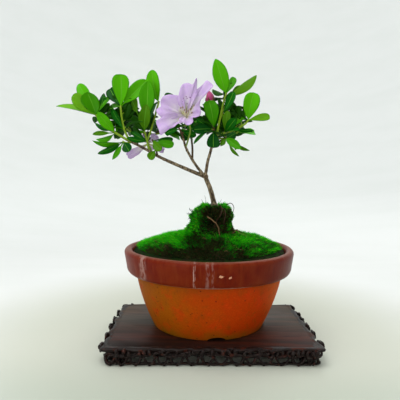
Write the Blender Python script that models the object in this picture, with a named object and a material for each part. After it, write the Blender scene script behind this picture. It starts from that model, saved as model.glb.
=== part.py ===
"""Satsuki azalea bonsai in a glazed-rim clay pot on a carved wood stand.

The model is written in millimetres about the pot's axis, with the surface that the stand
rests on at height 0, and is scaled to metres as each mesh is made. X runs to the right of
the front view, Y away from it and Z up. At the end everything is moved so that the bottom
centre of the whole box is the origin.
"""

import math
import random
from collections import namedtuple

import bmesh
import bpy
from mathutils import Vector
from mathutils.bvhtree import BVHTree

# Driving sizes of the made pieces, in millimetres
MM = 0.001
GAP = 0.3

STAND_LENGTH, STAND_DEPTH, STAND_HEIGHT = 142.0, 95.0, 12.0
STAND_CENTRE = (1.3, -6.1)
STAND_TURN = 2.5
BOARD_LENGTH, BOARD_DEPTH, BOARD_THICK = 145.0, 96.0, 3.4
BOARD_SQUARENESS, BOARD_POINTS = 20.0, 160
SCALLOP = 1.3
# The carved curls at the board's corners: how far they stick out and their half width in radians
CORNER_CURL, CORNER_CURL_SPAN = 2.6, 0.05
APRON_INSET, APRON_THICK = 3.0, 5.0
RAIL_LIFT, RAIL_HEIGHT, FRIEZE_HEIGHT = 0.2, 1.9, 4.0
FOOT_INSET, FOOT_RADIUS, FOOT_LUMPS = 9.5, 6.0, (0.88, 1.06)
# Each level of a foot: its share of the height, its girth and how far it splays outwards
FOOT_LEVELS = ((0.0, 0.92, 1.2), (0.22, 1.0, 0.9), (0.5, 0.86, 0.2), (0.78, 0.97, 0.0), (1.0, 0.99, 0.0))
STRUT_PITCH, STRUT_RADIUS = 8.5, 1.7

POT_FOOT_RADIUS, POT_WAIST_RADIUS = 41.2, 54.4
RIM_LOW_RADIUS, RIM_TOP_RADIUS, MOUTH_RADIUS = 60.0, 62.5, 56.4
POT_BASE = STAND_HEIGHT + GAP
RIM_BOTTOM, RIM_TOP = 52.0, 68.8
POT_WALL, POT_FLOOR = 4.5, 17.5
FOOT_RING_WIDTH, FOOT_RING_HEIGHT = 5.0, 3.0
FOOT_NOTCH_WIDTH, FOOT_NOTCHES, FOOT_NOTCH_ANGLE = 12.0, 3, -82.0
DRAIN_RADIUS = 7.0
SOIL_TOP = 65.4

MOSS_EDGE, MOSS_PEAK = 67.2, 78.6
MOUND_FLAT_RADIUS = 15.0
HUMMOCK_TOP = 99.0
HUMMOCK_RADII = ((0.0, 17.0), (0.16, 16.2), (0.42, 13.4), (0.62, 14.4), (0.82, 12.0), (1.0, 7.5))
LATHE_STEPS = 44

# The limbs: each route runs from the fork outwards, with a radius at either end
TRUNK_FOOT = Vector((3.7, 0.0, HUMMOCK_TOP + GAP))
TRUNK_BENDS = (Vector((2.2, 0.0, 105.5)), Vector((0.4, 0.0, 111.8)), Vector((-1.6, 0.0, 116.8)))
FORK = Vector((-3.4, 0.0, 120.8))
TRUNK_FOOT_RADIUS, TRUNK_RADIUS, TRUNK_TOP_RADIUS = 2.9, 2.0, 1.6
TRUNK_SIDES = 12
STUB_LENGTH = 4.4

Limb = namedtuple("Limb", "bends start_radius end_radius")
LIMBS = {
    "bough_left": Limb(
        ((-21.0, -2.0, 128.1), (-36.5, -4.5, 134.8), (-48.5, -6.5, 141.4), (-61.2, -8.0, 147.4)),
        1.3,
        0.85,
    ),
    "bough_middle": Limb(
        ((-9.4, -0.8, 128.0), (-13.6, -1.8, 134.2), (-17.6, -3.0, 141.5), (-20.0, -4.0, 149.2)),
        1.05,
        0.8,
    ),
    "bough_right": Limb(
        ((-1.8, -0.3, 131.8), (0.4, -0.6, 140.0), (1.9, -0.8, 147.0), (2.3, -1.0, 153.0)),
        1.1,
        0.9,
    ),
}

# A leaf leaves its node at an angle in the front view, counted anticlockwise from +X. Reach is
# how far its tip gets in that view and forward is how much nearer the front it lies. The
# petiole is the bare share of its length.
Leaf = namedtuple("Leaf", "angle reach width forward petiole")
# A whorl sits at a share of its shoot's length. The seeded rule adds its leaves that point to
# the back and to the front.
Whorl = namedtuple("Whorl", "share leaves back_leaves front_leaves", defaults=(0,))
# A shoot starts on a point and passes through its bends. The first shoot of a mass is its
# stem, which meets a limb, and the others start on that stem.
Shoot = namedtuple("Shoot", "points radius whorls")
Bud = namedtuple("Bud", "node tip length radius")
Mass = namedtuple("Mass", "limb shoots bud", defaults=(None,))

FRONT = Vector((0, -1, 0))
LEAF_THICK, LEAF_SPREAD, LEAF_BOW = 0.5, (1.0, 0.82), 0.03
PETIOLE_RADIUS = 0.42
SHOOT_TIP_RADIUS, NODE_SETBACK = 0.68, 1.0
RULE_LEAF_LENGTH, RULE_LEAF_WIDTH, RULE_PETIOLE = 17.0, 6.8, 0.1
RULE_TRIES = 12
CLEARANCE = 0.45

FOLIAGE = {
    "foliage_left_tip": Mass("bough_left", (
        Shoot(((-59.0, -7.7, 146.4), (-66.3, -8.2, 150.6), (-71.8, -8.5, 154.0), (-77.8, -8.8, 159.2),
               (-83.6, -9.0, 165.4)), 0.95, (
            Whorl(1.0, (
                Leaf(121, 27.5, 8.8, -4, 0.12), Leaf(137, 18.5, 9.3, 9, 0.1), Leaf(96, 12.0, 12.6, 17, 0.1),
                Leaf(77, 18.0, 4.4, -9, 0.1), Leaf(165, 28.5, 4.8, 3, 0.06)), 2),
            Whorl(0.36, (
                Leaf(157, 18.5, 3.2, -5, 0.3), Leaf(186, 15.2, 3.6, 6, 0.3), Leaf(197, 17.5, 3.6, -8, 0.15),
                Leaf(129, 17.5, 7.8, 8, 0.12)), 2),
        )),
    )),
    "foliage_left_crown": Mass("bough_left", (
        Shoot(((-57.6, -7.4, 145.4), (-61.2, -8.0, 151.6), (-64.0, -8.0, 161.0), (-65.2, -8.0, 172.0)),
              0.85, (
            Whorl(1.0, (
                Leaf(87, 22.0, 12.3, 5, 0.06), Leaf(124, 17.5, 8.8, -8, 0.1), Leaf(50, 28.0, 10.4, -7, 0.12)),
                2),
            Whorl(0.35, (Leaf(114, 19.0, 6.6, -8, 0.12), Leaf(124, 19.5, 5.2, -3, 0.1)), 3, 1),
        )),
    )),
    "foliage_left_fan": Mass("bough_left", (
        Shoot(((-57.0, -7.4, 145.2), (-60.4, -11.0, 144.6), (-63.0, -12.0, 145.8)), 0.7, (
            Whorl(1.0, (
                Leaf(183, 21.5, 3.4, 4, 0.14), Leaf(205, 21.5, 3.8, -3, 0.14), Leaf(243, 14.5, 3.6, 6, 0.25),
                Leaf(306, 8.5, 7.4, 4, 0.1)), 0),
        )),
    )),
    "foliage_left_middle": Mass("bough_left", (
        Shoot(((-44.4, -5.9, 139.4), (-46.2, -5.0, 146.0), (-48.6, -3.4, 154.6)), 0.8, (
            Whorl(1.0, (
                Leaf(85, 35.5, 11.8, 7, 0.34), Leaf(113, 29.5, 7.4, -3, 0.5), Leaf(72, 24.0, 5.2, -2, 0.1),
                Leaf(80, 17.5, 8.8, 12, 0.1)), 2, 1),
            Whorl(0.45, (Leaf(172, 13.0, 4.2, 8, 0.1), Leaf(150, 15.0, 4.0, -4, 0.1)), 0),
        )),
        Shoot(((-46.2, -5.0, 146.0), (-42.2, -3.0, 160.0), (-38.0, -2.5, 176.0)), 0.7, (
            Whorl(1.0, (Leaf(102, 23.5, 9.6, 3, 0.05),), 2),
            Whorl(0.5, (), 2),
        )),
    )),
    "foliage_left_low": Mass("bough_left", (
        Shoot(((-38.2, -4.7, 136.0), (-39.4, -7.4, 140.4), (-42.0, -8.4, 147.6)), 0.7, (
            Whorl(1.0, (Leaf(312, 9.5, 6.0, 6, 0.1), Leaf(349, 15.5, 6.0, 3, 0.2),
                        Leaf(6, 14.5, 3.8, -5, 0.2)), 1, 1),
            Whorl(0.4, (Leaf(238, 8.5, 6.0, 2, 0.15),), 0),
        )),
    )),
    "foliage_centre": Mass("bough_middle", (
        Shoot(((-18.9, -3.5, 145.8), (-20.6, -4.2, 151.4), (-23.0, -4.6, 156.4)), 0.7, (
            Whorl(1.0, (Leaf(196, 11.5, 4.6, -3, 0.1), Leaf(318, 9.0, 5.8, -4, 0.1),
                        Leaf(340, 13.0, 4.8, -3, 0.2)), 2),
        )),
        Shoot(((-20.9, -4.2, 152.4), (-16.6, -0.8, 155.6)), 0.7, (
            Whorl(1.0, (Leaf(20, 10.5, 5.6, -2, 0.1), Leaf(75, 11.0, 5.0, -4, 0.1)), 0),
        )),
    )),
    "foliage_right_hub": Mass("bough_right", (
        Shoot(((2.2, -0.9, 150.5), (2.5, -1.6, 157.4)), 0.95, (
            Whorl(1.0, (
                Leaf(101, 19.0, 10.6, 9, 0.1), Leaf(112, 20.5, 4.0, -3, 0.2), Leaf(74, 18.5, 4.6, -9, 0.15),
                Leaf(186, 14.6, 7.6, 8, 0.12), Leaf(214, 18.5, 3.0, 1, 0.35), Leaf(154, 14.0, 4.6, 4, 0.3)),
                2, 1),
        )),
        Shoot(((2.4, -1.4, 155.4), (2.7, -5.6, 155.0)), 0.7, (
            Whorl(1.0, (Leaf(269, 13.0, 9.8, 1, 0.12),), 0),
        )),
    ), Bud((2.3, -0.8, 156.6), (-1.4, 2.0, 184.5), 10.0, 3.2)),
    "foliage_right_top": Mass("bough_right", (
        Shoot(((1.9, -0.8, 147.0), (4.8, -2.4, 152.4), (6.2, -2.4, 160.0), (9.0, -2.6, 174.0),
               (11.4, -3.0, 182.4)), 0.85, (
            Whorl(1.0, (Leaf(109, 24.6, 11.2, 7, 0.05), Leaf(66, 15.5, 5.4, -9, 0.08)), 2),
        )),
        Shoot(((6.4, -2.4, 162.0), (11.6, -1.6, 175.0), (14.6, -1.0, 181.8)), 0.7, (
            Whorl(1.0, (Leaf(37, 25.4, 5.8, -5, 0.03),), 1),
            Whorl(0.25, (Leaf(63, 17.5, 6.2, 4, 0.15),), 0),
        )),
    )),
    "foliage_right_side": Mass("bough_right", (
        Shoot(((2.1, -0.8, 150.0), (6.0, 1.8, 152.4), (12.6, 1.6, 154.2), (19.6, 0.8, 156.6),
               (25.8, 0.1, 160.4), (28.3, 0.0, 163.8)), 0.8, (
            Whorl(1.0, (Leaf(80, 19.2, 12.0, 6, 0.04), Leaf(11, 17.0, 5.8, -4, 0.05)), 2),
            Whorl(0.33, (
                Leaf(47, 25.0, 6.8, -5, 0.2), Leaf(70, 18.5, 9.0, -9, 0.12), Leaf(84, 15.0, 6.2, 7, 0.15),
                Leaf(52, 11.0, 6.8, 11, 0.1)), 2, 1),
            Whorl(0.6, (Leaf(355, 13.6, 2.6, 2, 0.1),), 0),
        )),
    )),
    "foliage_right_low": Mass("bough_right", (
        Shoot(((1.6, -0.8, 145.5), (6.6, 0.2, 147.2), (12.0, -1.0, 150.2)), 0.7, (
            Whorl(1.0, (Leaf(323, 13.4, 6.0, 8, 0.06), Leaf(331, 20.5, 2.6, -2, 0.45),
                        Leaf(306, 17.0, 2.2, 5, 0.4), Leaf(240, 7.0, 3.8, 3, 0.1)), 2, 1),
        )),
    )),
    "foliage_left_back": Mass("bough_left", (
        Shoot(((-53.0, -7.2, 143.8), (-54.0, 1.0, 149.0), (-53.0, 12.0, 155.0), (-50.0, 22.0, 163.0)),
              0.8, (Whorl(1.0, (), 4, 1), Whorl(0.72, (), 2))),
        Shoot(((-53.4, 8.0, 153.0), (-62.0, 15.0, 155.0), (-69.0, 19.0, 161.0)), 0.7, (
            Whorl(1.0, (), 4, 1),)),
        Shoot(((-53.0, 11.0, 154.5), (-43.0, 19.0, 154.0), (-35.0, 25.0, 158.0)), 0.7, (
            Whorl(1.0, (), 4, 1),)),
    )),
    "foliage_centre_back": Mass("bough_middle", (
        Shoot(((-13.2, -1.7, 133.6), (-13.6, 7.0, 144.0), (-16.0, 12.0, 160.0), (-18.0, 12.0, 178.0)),
              0.8, (
            Whorl(1.0, (Leaf(160, 18.5, 4.8, 2, 0.45), Leaf(70, 9.0, 4.6, -3, 0.1)), 3),
            Whorl(0.7, (), 3, 1))),
        Shoot(((-14.4, 9.0, 150.0), (-12.0, 19.0, 157.0), (-10.0, 25.0, 163.0)), 0.7, (
            Whorl(1.0, (), 5),)),
    )),
    "foliage_right_back": Mass("bough_right", (
        Shoot(((0.2, -0.5, 137.5), (2.0, 8.0, 146.0), (8.0, 16.0, 158.0), (13.0, 20.0, 169.0)), 0.8, (
            Whorl(1.0, (), 4, 1), Whorl(0.7, (), 3))),
        Shoot(((4.0, 11.0, 150.0), (15.0, 18.0, 152.0), (22.0, 24.0, 157.0)), 0.7, (
            Whorl(1.0, (), 4, 1),)),
    )),
}

# The blossom: petals are given as leaves are, from the throat outwards
Bloom = namedtuple("Bloom", "limb route throat_depth petals")
PETAL_THICK, PETAL_SPREAD, PETAL_BOW = 0.55, (0.86, 1.0), 0.04
THROAT_RADIUS, PEDUNCLE_RADIUS = 3.2, 0.7
BLOOMS = {
    "bloom_front": Bloom(
        "bough_middle",
        ((-17.9, -3.1, 142.5), (-16.0, -6.6, 148.0), (-14.4, -9.6, 154.0), (-15.2, -12.0, 159.0),
         (-17.0, -12.6, 163.0)),
        7.0,
        (
            Leaf(84, 22.5, 15.5, 3, 0.0), Leaf(55, 29.5, 12.5, 1, 0.0), Leaf(330, 9.5, 10.5, 8, 0.0),
            Leaf(226, 24.5, 19.0, 4, 0.0), Leaf(150, 20.0, 17.5, 2, 0.0),
        ),
    ),
    "bloom_under": Bloom(
        "bough_left",
        ((-42.4, -5.5, 138.4), (-44.4, -1.0, 141.6), (-46.6, 2.6, 144.4)),
        -4.0,
        (
            Leaf(209, 19.5, 8.5, 0, 0.0), Leaf(336, 12.6, 6.0, 0, 0.0), Leaf(60, 9.0, 9.0, -6, 0.0),
            Leaf(130, 10.0, 9.0, -6, 0.0), Leaf(270, 4.5, 7.0, -9, 0.0),
        ),
    ),
}


def clear_scene():
    for thing in list(bpy.data.objects):
        bpy.data.objects.remove(thing, do_unlink=True)


def make_material(name, colour, roughness):
    material = bpy.data.materials.new(name)
    material.use_nodes = True
    material.diffuse_color = (*colour, 1.0)
    shader = material.node_tree.nodes["Principled BSDF"]
    shader.inputs["Base Color"].default_value = (*colour, 1.0)
    shader.inputs["Roughness"].default_value = roughness
    shader.inputs["Metallic"].default_value = 0.0
    return material


def make_materials():
    return {
        "wood": make_material("rosewood", (0.06, 0.012, 0.008), 0.45),
        "pot": make_material("glazed_clay", (0.32, 0.08, 0.02), 0.4),
        "soil": make_material("soil", (0.03, 0.02, 0.012), 0.95),
        "moss": make_material("moss", (0.02, 0.16, 0.01), 0.95),
        "bark": make_material("bark", (0.10, 0.07, 0.04), 0.85),
        "leaf": make_material("leaf", (0.04, 0.28, 0.01), 0.45),
        "petal": make_material("petal", (0.62, 0.45, 0.85), 0.5),
    }


def link_mesh(name, points, faces, material):
    """A mesh object from points in millimetres."""
    mesh = bpy.data.meshes.new(name)
    mesh.from_pydata([tuple(Vector(p) * MM) for p in points], [], faces)
    mesh.update()
    mesh.materials.append(material)
    thing = bpy.data.objects.new(name, mesh)
    bpy.context.scene.collection.objects.link(thing)
    return thing


def rings_to_shape(rings):
    """Points and faces of a closed shape through rings of equal count, with flat ends."""
    count = len(rings[0])
    points = [p for ring in rings for p in ring]
    faces = [tuple(reversed(range(count)))]
    for row in range(len(rings) - 1):
        low, high = row * count, (row + 1) * count
        for i in range(count):
            j = (i + 1) % count
            faces.append((low + i, low + j, high + j, high + i))
    last = (len(rings) - 1) * count
    faces.append(tuple(range(last, last + count)))
    return points, faces


def side_of(direction):
    """A unit vector square to the direction, chosen the same way each time."""
    helper = Vector((0, 0, 1)) if abs(direction.z) < 0.9 else Vector((0, 1, 0))
    return direction.cross(helper).normalized()


def tube(route, radii, sides):
    """A tapering round bar along a route, its rings carried along without twisting."""
    rings = []
    across = side_of((route[1] - route[0]).normalized())
    for i, point in enumerate(route):
        ahead = (route[min(i + 1, len(route) - 1)] - route[max(i - 1, 0)]).normalized()
        across = (across - ahead * across.dot(ahead)).normalized()
        other = ahead.cross(across)
        turns = [math.tau * k / sides for k in range(sides)]
        rings.append([point + (across * math.cos(t) + other * math.sin(t)) * radii[i] for t in turns])
    return rings_to_shape(rings)


def smooth_route(bends, per_span=3):
    """Points on a Catmull-Rom curve through the bends."""
    bends = [Vector(b) for b in bends]
    padded = [bends[0] * 2 - bends[1], *bends, bends[-1] * 2 - bends[-2]]
    route = []
    for a, b, c, d in zip(padded, padded[1:], padded[2:], padded[3:]):
        for step in range(per_span):
            t = step / per_span
            route.append(0.5 * (2 * b + (c - a) * t + (2 * a - 5 * b + 4 * c - d) * t * t
                                + (3 * b - a - 3 * c + d) * t ** 3))
    return [*route, bends[-1]]


def point_along(route, distance):
    """The point that lies this far along a route."""
    for a, b in zip(route, route[1:]):
        span = (b - a).length
        if distance <= span:
            return a.lerp(b, distance / span)
        distance -= span
    return route[-1].copy()


def route_length(route):
    return sum((b - a).length for a, b in zip(route, route[1:]))


def nearest_on(route, point):
    """The point of a route that lies nearest to another point."""
    whole = route_length(route)
    places = [point_along(route, whole * k / 100) for k in range(100)]
    return min(places, key=lambda place: (place - point).length)


def cut_route(route, start):
    """The route without its first stretch."""
    kept, passed = [point_along(route, start)], 0.0
    for a, b in zip(route, route[1:]):
        passed += (b - a).length
        if passed > start + 0.8:
            kept.append(b)
    return kept


def tapered(route, start_radius, end_radius):
    whole = route_length(route)
    passed, radii = 0.0, []
    for i, point in enumerate(route):
        passed += (point - route[i - 1]).length if i else 0.0
        radii.append(start_radius + (end_radius - start_radius) * passed / whole)
    return radii


def tree_of(shape):
    return BVHTree.FromPolygons([tuple(p) for p in shape[0]], shape[1])


def shape_of(thing):
    """Points in millimetres and faces of a finished object that isn't moved yet."""
    mesh = thing.data
    return [v.co / MM for v in mesh.vertices], [tuple(f.vertices) for f in mesh.polygons]


def seat(route, radius, tree):
    """Trims the start of a route so that its flat end stands the gap clear of a limb."""
    start = min(6.0, route_length(route) * 0.6)
    while start > 0.05:
        nearer = cut_route(route, start - 0.05)
        ahead = (nearer[1] - nearer[0]).normalized()
        across = side_of(ahead)
        other = ahead.cross(across)
        turns = [math.tau * k / 8 for k in range(8)]
        rim = [nearer[0] + (across * math.cos(t) + other * math.sin(t)) * radius for t in turns]
        if min(tree.find_nearest(p)[3] for p in [*rim, nearer[0]]) < GAP:
            break
        start -= 0.05
    return cut_route(route, start)


def keep_outer_body(mesh):
    """Drops loose scraps and fills sealed hollows: only the largest closed shell stays."""
    shape = bmesh.new()
    shape.from_mesh(mesh)
    bmesh.ops.triangulate(shape, faces=shape.faces)
    left, shells = set(shape.faces), []
    while left:
        shell, front = set(), [left.pop()]
        while front:
            face = front.pop()
            shell.add(face)
            near = {f for e in face.edges if len(e.link_faces) == 2 for f in e.link_faces} & left
            left -= near
            front.extend(near)
        shells.append(shell)
    if len(shells) > 1:
        largest = max(shells, key=lambda shell: sum(f.calc_area() for f in shell))
        spare = [f for shell in shells if shell is not largest for f in shell]
        bmesh.ops.delete(shape, geom=spare, context="FACES")
    shape.to_mesh(mesh)
    shape.free()


def unite(name, shapes, material):
    """One solid from several overlapping closed shapes, by one Boolean union."""
    base = link_mesh(name, *shapes[0], material)
    others = bpy.data.collections.new(name + "_pieces")
    for i, shape in enumerate(shapes[1:]):
        piece = link_mesh(f"{name}_piece_{i}", *shape, material)
        bpy.context.scene.collection.objects.unlink(piece)
        others.objects.link(piece)
    bpy.context.scene.collection.children.link(others)
    join = base.modifiers.new("join", "BOOLEAN")
    join.operation = "UNION"
    join.operand_type = "COLLECTION"
    join.collection = others
    join.solver = "EXACT"
    bpy.context.view_layer.update()
    graph = bpy.context.evaluated_depsgraph_get()
    joined = bpy.data.meshes.new_from_object(base.evaluated_get(graph))
    base.modifiers.remove(join)
    base.data = joined
    for piece in list(others.objects):
        bpy.data.objects.remove(piece, do_unlink=True)
    bpy.data.collections.remove(others)
    keep_outer_body(joined)
    return base


def lathe(name, profile, material):
    """A turned piece: the profile runs down its outer side, in radius and height."""
    mesh = bpy.data.meshes.new(name)
    closed = profile[0][0] > 0
    count = len(profile)
    edges = [(i, i + 1) for i in range(count - 1)] + ([(count - 1, 0)] if closed else [])
    mesh.from_pydata([(r * MM, 0.0, z * MM) for r, z in profile], edges, [])
    thing = bpy.data.objects.new(name, mesh)
    bpy.context.scene.collection.objects.link(thing)
    mesh.materials.append(material)
    screw = thing.modifiers.new("turn", "SCREW")
    screw.steps = screw.render_steps = LATHE_STEPS
    screw.use_merge_vertices = True
    screw.merge_threshold = 1e-5
    return thing


def arc(centre, radius, start, end, steps):
    turns = [math.radians(start + (end - start) * k / steps) for k in range(steps + 1)]
    return [(centre[0] + radius * math.cos(t), centre[1] + radius * math.sin(t)) for t in turns]


def make_pot(material):
    """The pot: foot ring, body that widens upwards, thick rim band and a drain hole."""
    lip = (RIM_TOP_RADIUS - MOUTH_RADIUS) / 2
    lip_centre = (MOUTH_RADIUS + lip, RIM_TOP - lip)
    inner_waist = POT_WAIST_RADIUS - POT_WALL
    profile = [
        *reversed(arc(lip_centre, lip, 0, 180, 6)),
        (RIM_LOW_RADIUS + 0.9, RIM_BOTTOM + 3.0),
        (RIM_LOW_RADIUS, RIM_BOTTOM + 1.0),
        (RIM_LOW_RADIUS - 1.2, RIM_BOTTOM),
        (POT_WAIST_RADIUS, RIM_BOTTOM),
        (POT_WAIST_RADIUS - 5.2, (RIM_BOTTOM + POT_BASE) / 2),
        (POT_FOOT_RADIUS, POT_BASE + 1.0),
        (POT_FOOT_RADIUS - 1.0, POT_BASE),
        (POT_FOOT_RADIUS - FOOT_RING_WIDTH, POT_BASE),
        (POT_FOOT_RADIUS - FOOT_RING_WIDTH - 1.0, POT_BASE + FOOT_RING_HEIGHT),
        (DRAIN_RADIUS, POT_BASE + FOOT_RING_HEIGHT),
        (DRAIN_RADIUS, POT_FLOOR),
        (POT_FOOT_RADIUS - POT_WALL, POT_FLOOR),
        (inner_waist, RIM_BOTTOM - 2.0),
        (MOUTH_RADIUS - 2.5, RIM_BOTTOM + 4.0),
    ]
    pot = lathe("pot", profile, material)
    for k in range(FOOT_NOTCHES):
        turn = math.radians(FOOT_NOTCH_ANGLE + 360 * k / FOOT_NOTCHES)
        cut_foot_notch(pot, k, turn)
    return pot


def cut_foot_notch(pot, number, turn):
    """Cuts a low gap through the foot ring, so that water can run out."""
    half, height = FOOT_NOTCH_WIDTH / 2, FOOT_RING_HEIGHT - 0.4
    near, far = POT_FOOT_RADIUS - FOOT_RING_WIDTH - 4, POT_FOOT_RADIUS + 4
    corners = [(x, y, z) for x in (near, far) for y in (-half, half) for z in (-3.0, height)]
    faces = [(0, 1, 3, 2), (4, 6, 7, 5), (0, 4, 5, 1), (2, 3, 7, 6), (0, 2, 6, 4), (1, 5, 7, 3)]
    cutter = link_mesh(f"foot_notch_{number}", corners, faces, pot.data.materials[0])
    cutter.location = (0, 0, POT_BASE * MM)
    cutter.rotation_euler = (0, 0, turn)
    cutter.hide_render = True
    cutter.display_type = "WIRE"
    cutter.parent = pot
    notch = pot.modifiers.new(f"notch_{number}", "BOOLEAN")
    notch.operation = "DIFFERENCE"
    notch.object = cutter


def make_soil(material):
    """The soil that fills the pot up to the moss."""
    profile = [
        (0.0, SOIL_TOP), (MOUTH_RADIUS - 0.8, SOIL_TOP), (MOUTH_RADIUS - 2.5 - GAP, RIM_BOTTOM + 4.0),
        (POT_WAIST_RADIUS - POT_WALL - GAP, RIM_BOTTOM - 2.0),
        (POT_FOOT_RADIUS - POT_WALL - GAP, POT_FLOOR + GAP), (0.0, POT_FLOOR + GAP),
    ]
    return lathe("soil", profile, material)


def make_moss_mound(material):
    """The mossed surface: a low dome with a level top that the hummock sits on."""
    edge = MOUTH_RADIUS - 0.9
    steps = 7
    profile = [(0.0, MOSS_PEAK), (MOUND_FLAT_RADIUS, MOSS_PEAK)]
    for k in range(1, steps + 1):
        share = k / steps
        radius = MOUND_FLAT_RADIUS + (edge - MOUND_FLAT_RADIUS) * share
        profile.append((radius, MOSS_EDGE + (MOSS_PEAK - MOSS_EDGE) * (1 - share ** 1.5)))
    profile += [(edge, SOIL_TOP + GAP), (0.0, SOIL_TOP + GAP)]
    return lathe("moss_mound", profile, material)


def make_hummock(material):
    """The mossed root base: a lumpy column whose top carries the trunk."""
    rng = random.Random(11)
    phases = [rng.uniform(0, math.tau) for _ in range(3)]
    low = MOSS_PEAK + GAP
    rings, sides = [], 28
    for share, radius in HUMMOCK_RADII:
        centre = Vector((0.4 + (TRUNK_FOOT.x - 0.4) * share, 0, low + (HUMMOCK_TOP - low) * share))
        ring = []
        for k in range(sides):
            turn = math.tau * k / sides
            lump = 1 + 0.045 * math.sin(3 * turn + phases[0] + 3 * share)
            lump += 0.035 * math.sin(5 * turn + phases[1]) + 0.02 * math.sin(8 * turn + phases[2])
            ring.append(centre + Vector((math.cos(turn), math.sin(turn), 0)) * radius * lump)
        rings.append(ring)
    return link_mesh("moss_hummock", *rings_to_shape(rings), material)


def board_edge(turn):
    """A point of the stand's freeform edge: a nearly square oblong, wavy, with curled corners."""
    power = BOARD_SQUARENESS
    c, s = math.cos(turn), math.sin(turn)
    half_x, half_y = BOARD_LENGTH / 2 - SCALLOP, BOARD_DEPTH / 2 - SCALLOP
    reach = (abs(c / half_x) ** power + abs(s / half_y) ** power) ** (-1 / power)
    wave = math.sin(21 * turn + 0.8) * 0.6 + math.sin(34 * turn) * 0.4
    off_corner = math.atan2(abs(s), abs(c)) - math.atan2(half_y, half_x)
    curl = CORNER_CURL * math.exp(-(off_corner / CORNER_CURL_SPAN) ** 2)
    return (reach + SCALLOP * wave + curl) * c, (reach + SCALLOP * wave + curl) * s


def make_board(material, parent):
    count = BOARD_POINTS
    low, high = STAND_HEIGHT - BOARD_THICK, STAND_HEIGHT
    outline = [board_edge(math.tau * k / count) for k in range(count)]
    rings = []
    for z, scale in ((low, 0.985), (low + 1.0, 1.0), (high - 0.8, 1.0), (high, 0.988)):
        rings.append([Vector((x * scale, y * scale, z)) for x, y in outline])
    board = link_mesh("stand_board", *rings_to_shape(rings), material)
    board.parent = parent
    return board


def block(low, high):
    """A box between two corners, as a closed shape."""
    rings = []
    for z in (low[2], high[2]):
        rings.append([Vector(p) for p in
                      ((low[0], low[1], z), (high[0], low[1], z), (high[0], high[1], z), (low[0], high[1], z))])
    return rings_to_shape(rings)


def make_foot(number, centre, outwards, material, parent):
    """A knobbly corner root with a flat underside, squarish in plan, under the board."""
    rng = random.Random(40 + number)
    top = STAND_HEIGHT - BOARD_THICK - GAP
    sides, rings = 12, []
    lumps = [rng.uniform(*FOOT_LUMPS) for _ in range(sides)]
    for share, girth, splay in FOOT_LEVELS:
        middle = centre + outwards * splay + Vector((0, 0, top * share))
        ring = []
        for k in range(sides):
            turn = math.tau * k / sides
            c, s = math.cos(turn), math.sin(turn)
            reach = FOOT_RADIUS * girth * lumps[k] * (abs(c) ** 3 + abs(s) ** 3) ** (-1 / 3)
            ring.append(middle + Vector((c, s, 0)) * reach)
        rings.append(ring)
    foot = link_mesh(f"stand_foot_{number}", *rings_to_shape(rings), material)
    foot.parent = parent
    return foot


def make_apron(name, length, offset, turned, seed, material, parent):
    """One pierced side of the stand: frieze, rail and leaning roots between them."""
    rng = random.Random(seed)
    top = STAND_HEIGHT - BOARD_THICK - GAP
    half, deep = length / 2, APRON_THICK / 2
    shapes = [
        block((-half, -deep, top - FRIEZE_HEIGHT), (half, deep, top)),
        block((-half + 0.6, -deep + 0.7, RAIL_LIFT), (half - 0.6, deep - 0.7, RAIL_HEIGHT)),
    ]
    x = -half + STRUT_PITCH * 0.4
    while x < half - STRUT_PITCH * 0.3:
        lean = rng.uniform(-1.6, 1.6)
        route = [Vector((x - lean, 0, RAIL_HEIGHT * 0.6)), Vector((x, rng.uniform(-0.8, 0.3), top * 0.45)),
                 Vector((x + lean, 0, top - FRIEZE_HEIGHT * 0.5))]
        girth = STRUT_RADIUS * rng.uniform(0.8, 1.15)
        strut = tube(route, [girth * 1.1, girth * 0.8, girth * 1.1], 6)
        for point in strut[0]:
            point.z = max(point.z, RAIL_LIFT * 2)
        shapes.append(strut)
        x += STRUT_PITCH * rng.uniform(0.75, 1.25)
    apron = unite(name, shapes, material)
    apron.location = (offset[0] * MM, offset[1] * MM, 0)
    apron.rotation_euler = (0, 0, math.radians(90) if turned else 0)
    apron.parent = parent
    return apron


def make_stand(material):
    """The carved stand: scalloped board on four corner roots and four pierced sides."""
    stand = bpy.data.objects.new("stand", None)
    bpy.context.scene.collection.objects.link(stand)
    stand.location = (STAND_CENTRE[0] * MM, STAND_CENTRE[1] * MM, 0)
    stand.rotation_euler = (0, 0, math.radians(STAND_TURN))
    make_board(material, stand)
    x, y = STAND_LENGTH / 2 - FOOT_INSET, STAND_DEPTH / 2 - FOOT_INSET
    for number, (sx, sy) in enumerate(((-1, -1), (1, -1), (1, 1), (-1, 1)), start=1):
        make_foot(number, Vector((sx * x, sy * y, 0)), Vector((sx, sy, 0)), material, stand)
    clear = FOOT_RADIUS * FOOT_LUMPS[1] + GAP
    front = STAND_DEPTH / 2 - APRON_INSET - APRON_THICK / 2
    side = STAND_LENGTH / 2 - APRON_INSET - APRON_THICK / 2
    long, short = 2 * (x - clear), 2 * (y - clear)
    make_apron("stand_side_front", long, (0, -front), False, 3, material, stand)
    make_apron("stand_side_back", long, (0, front), False, 5, material, stand)
    make_apron("stand_side_left", short, (-side, 0), True, 7, material, stand)
    make_apron("stand_side_right", short, (side, 0), True, 9, material, stand)
    return stand


def limb_route(limb):
    return smooth_route((FORK, *limb.bends))


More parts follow.
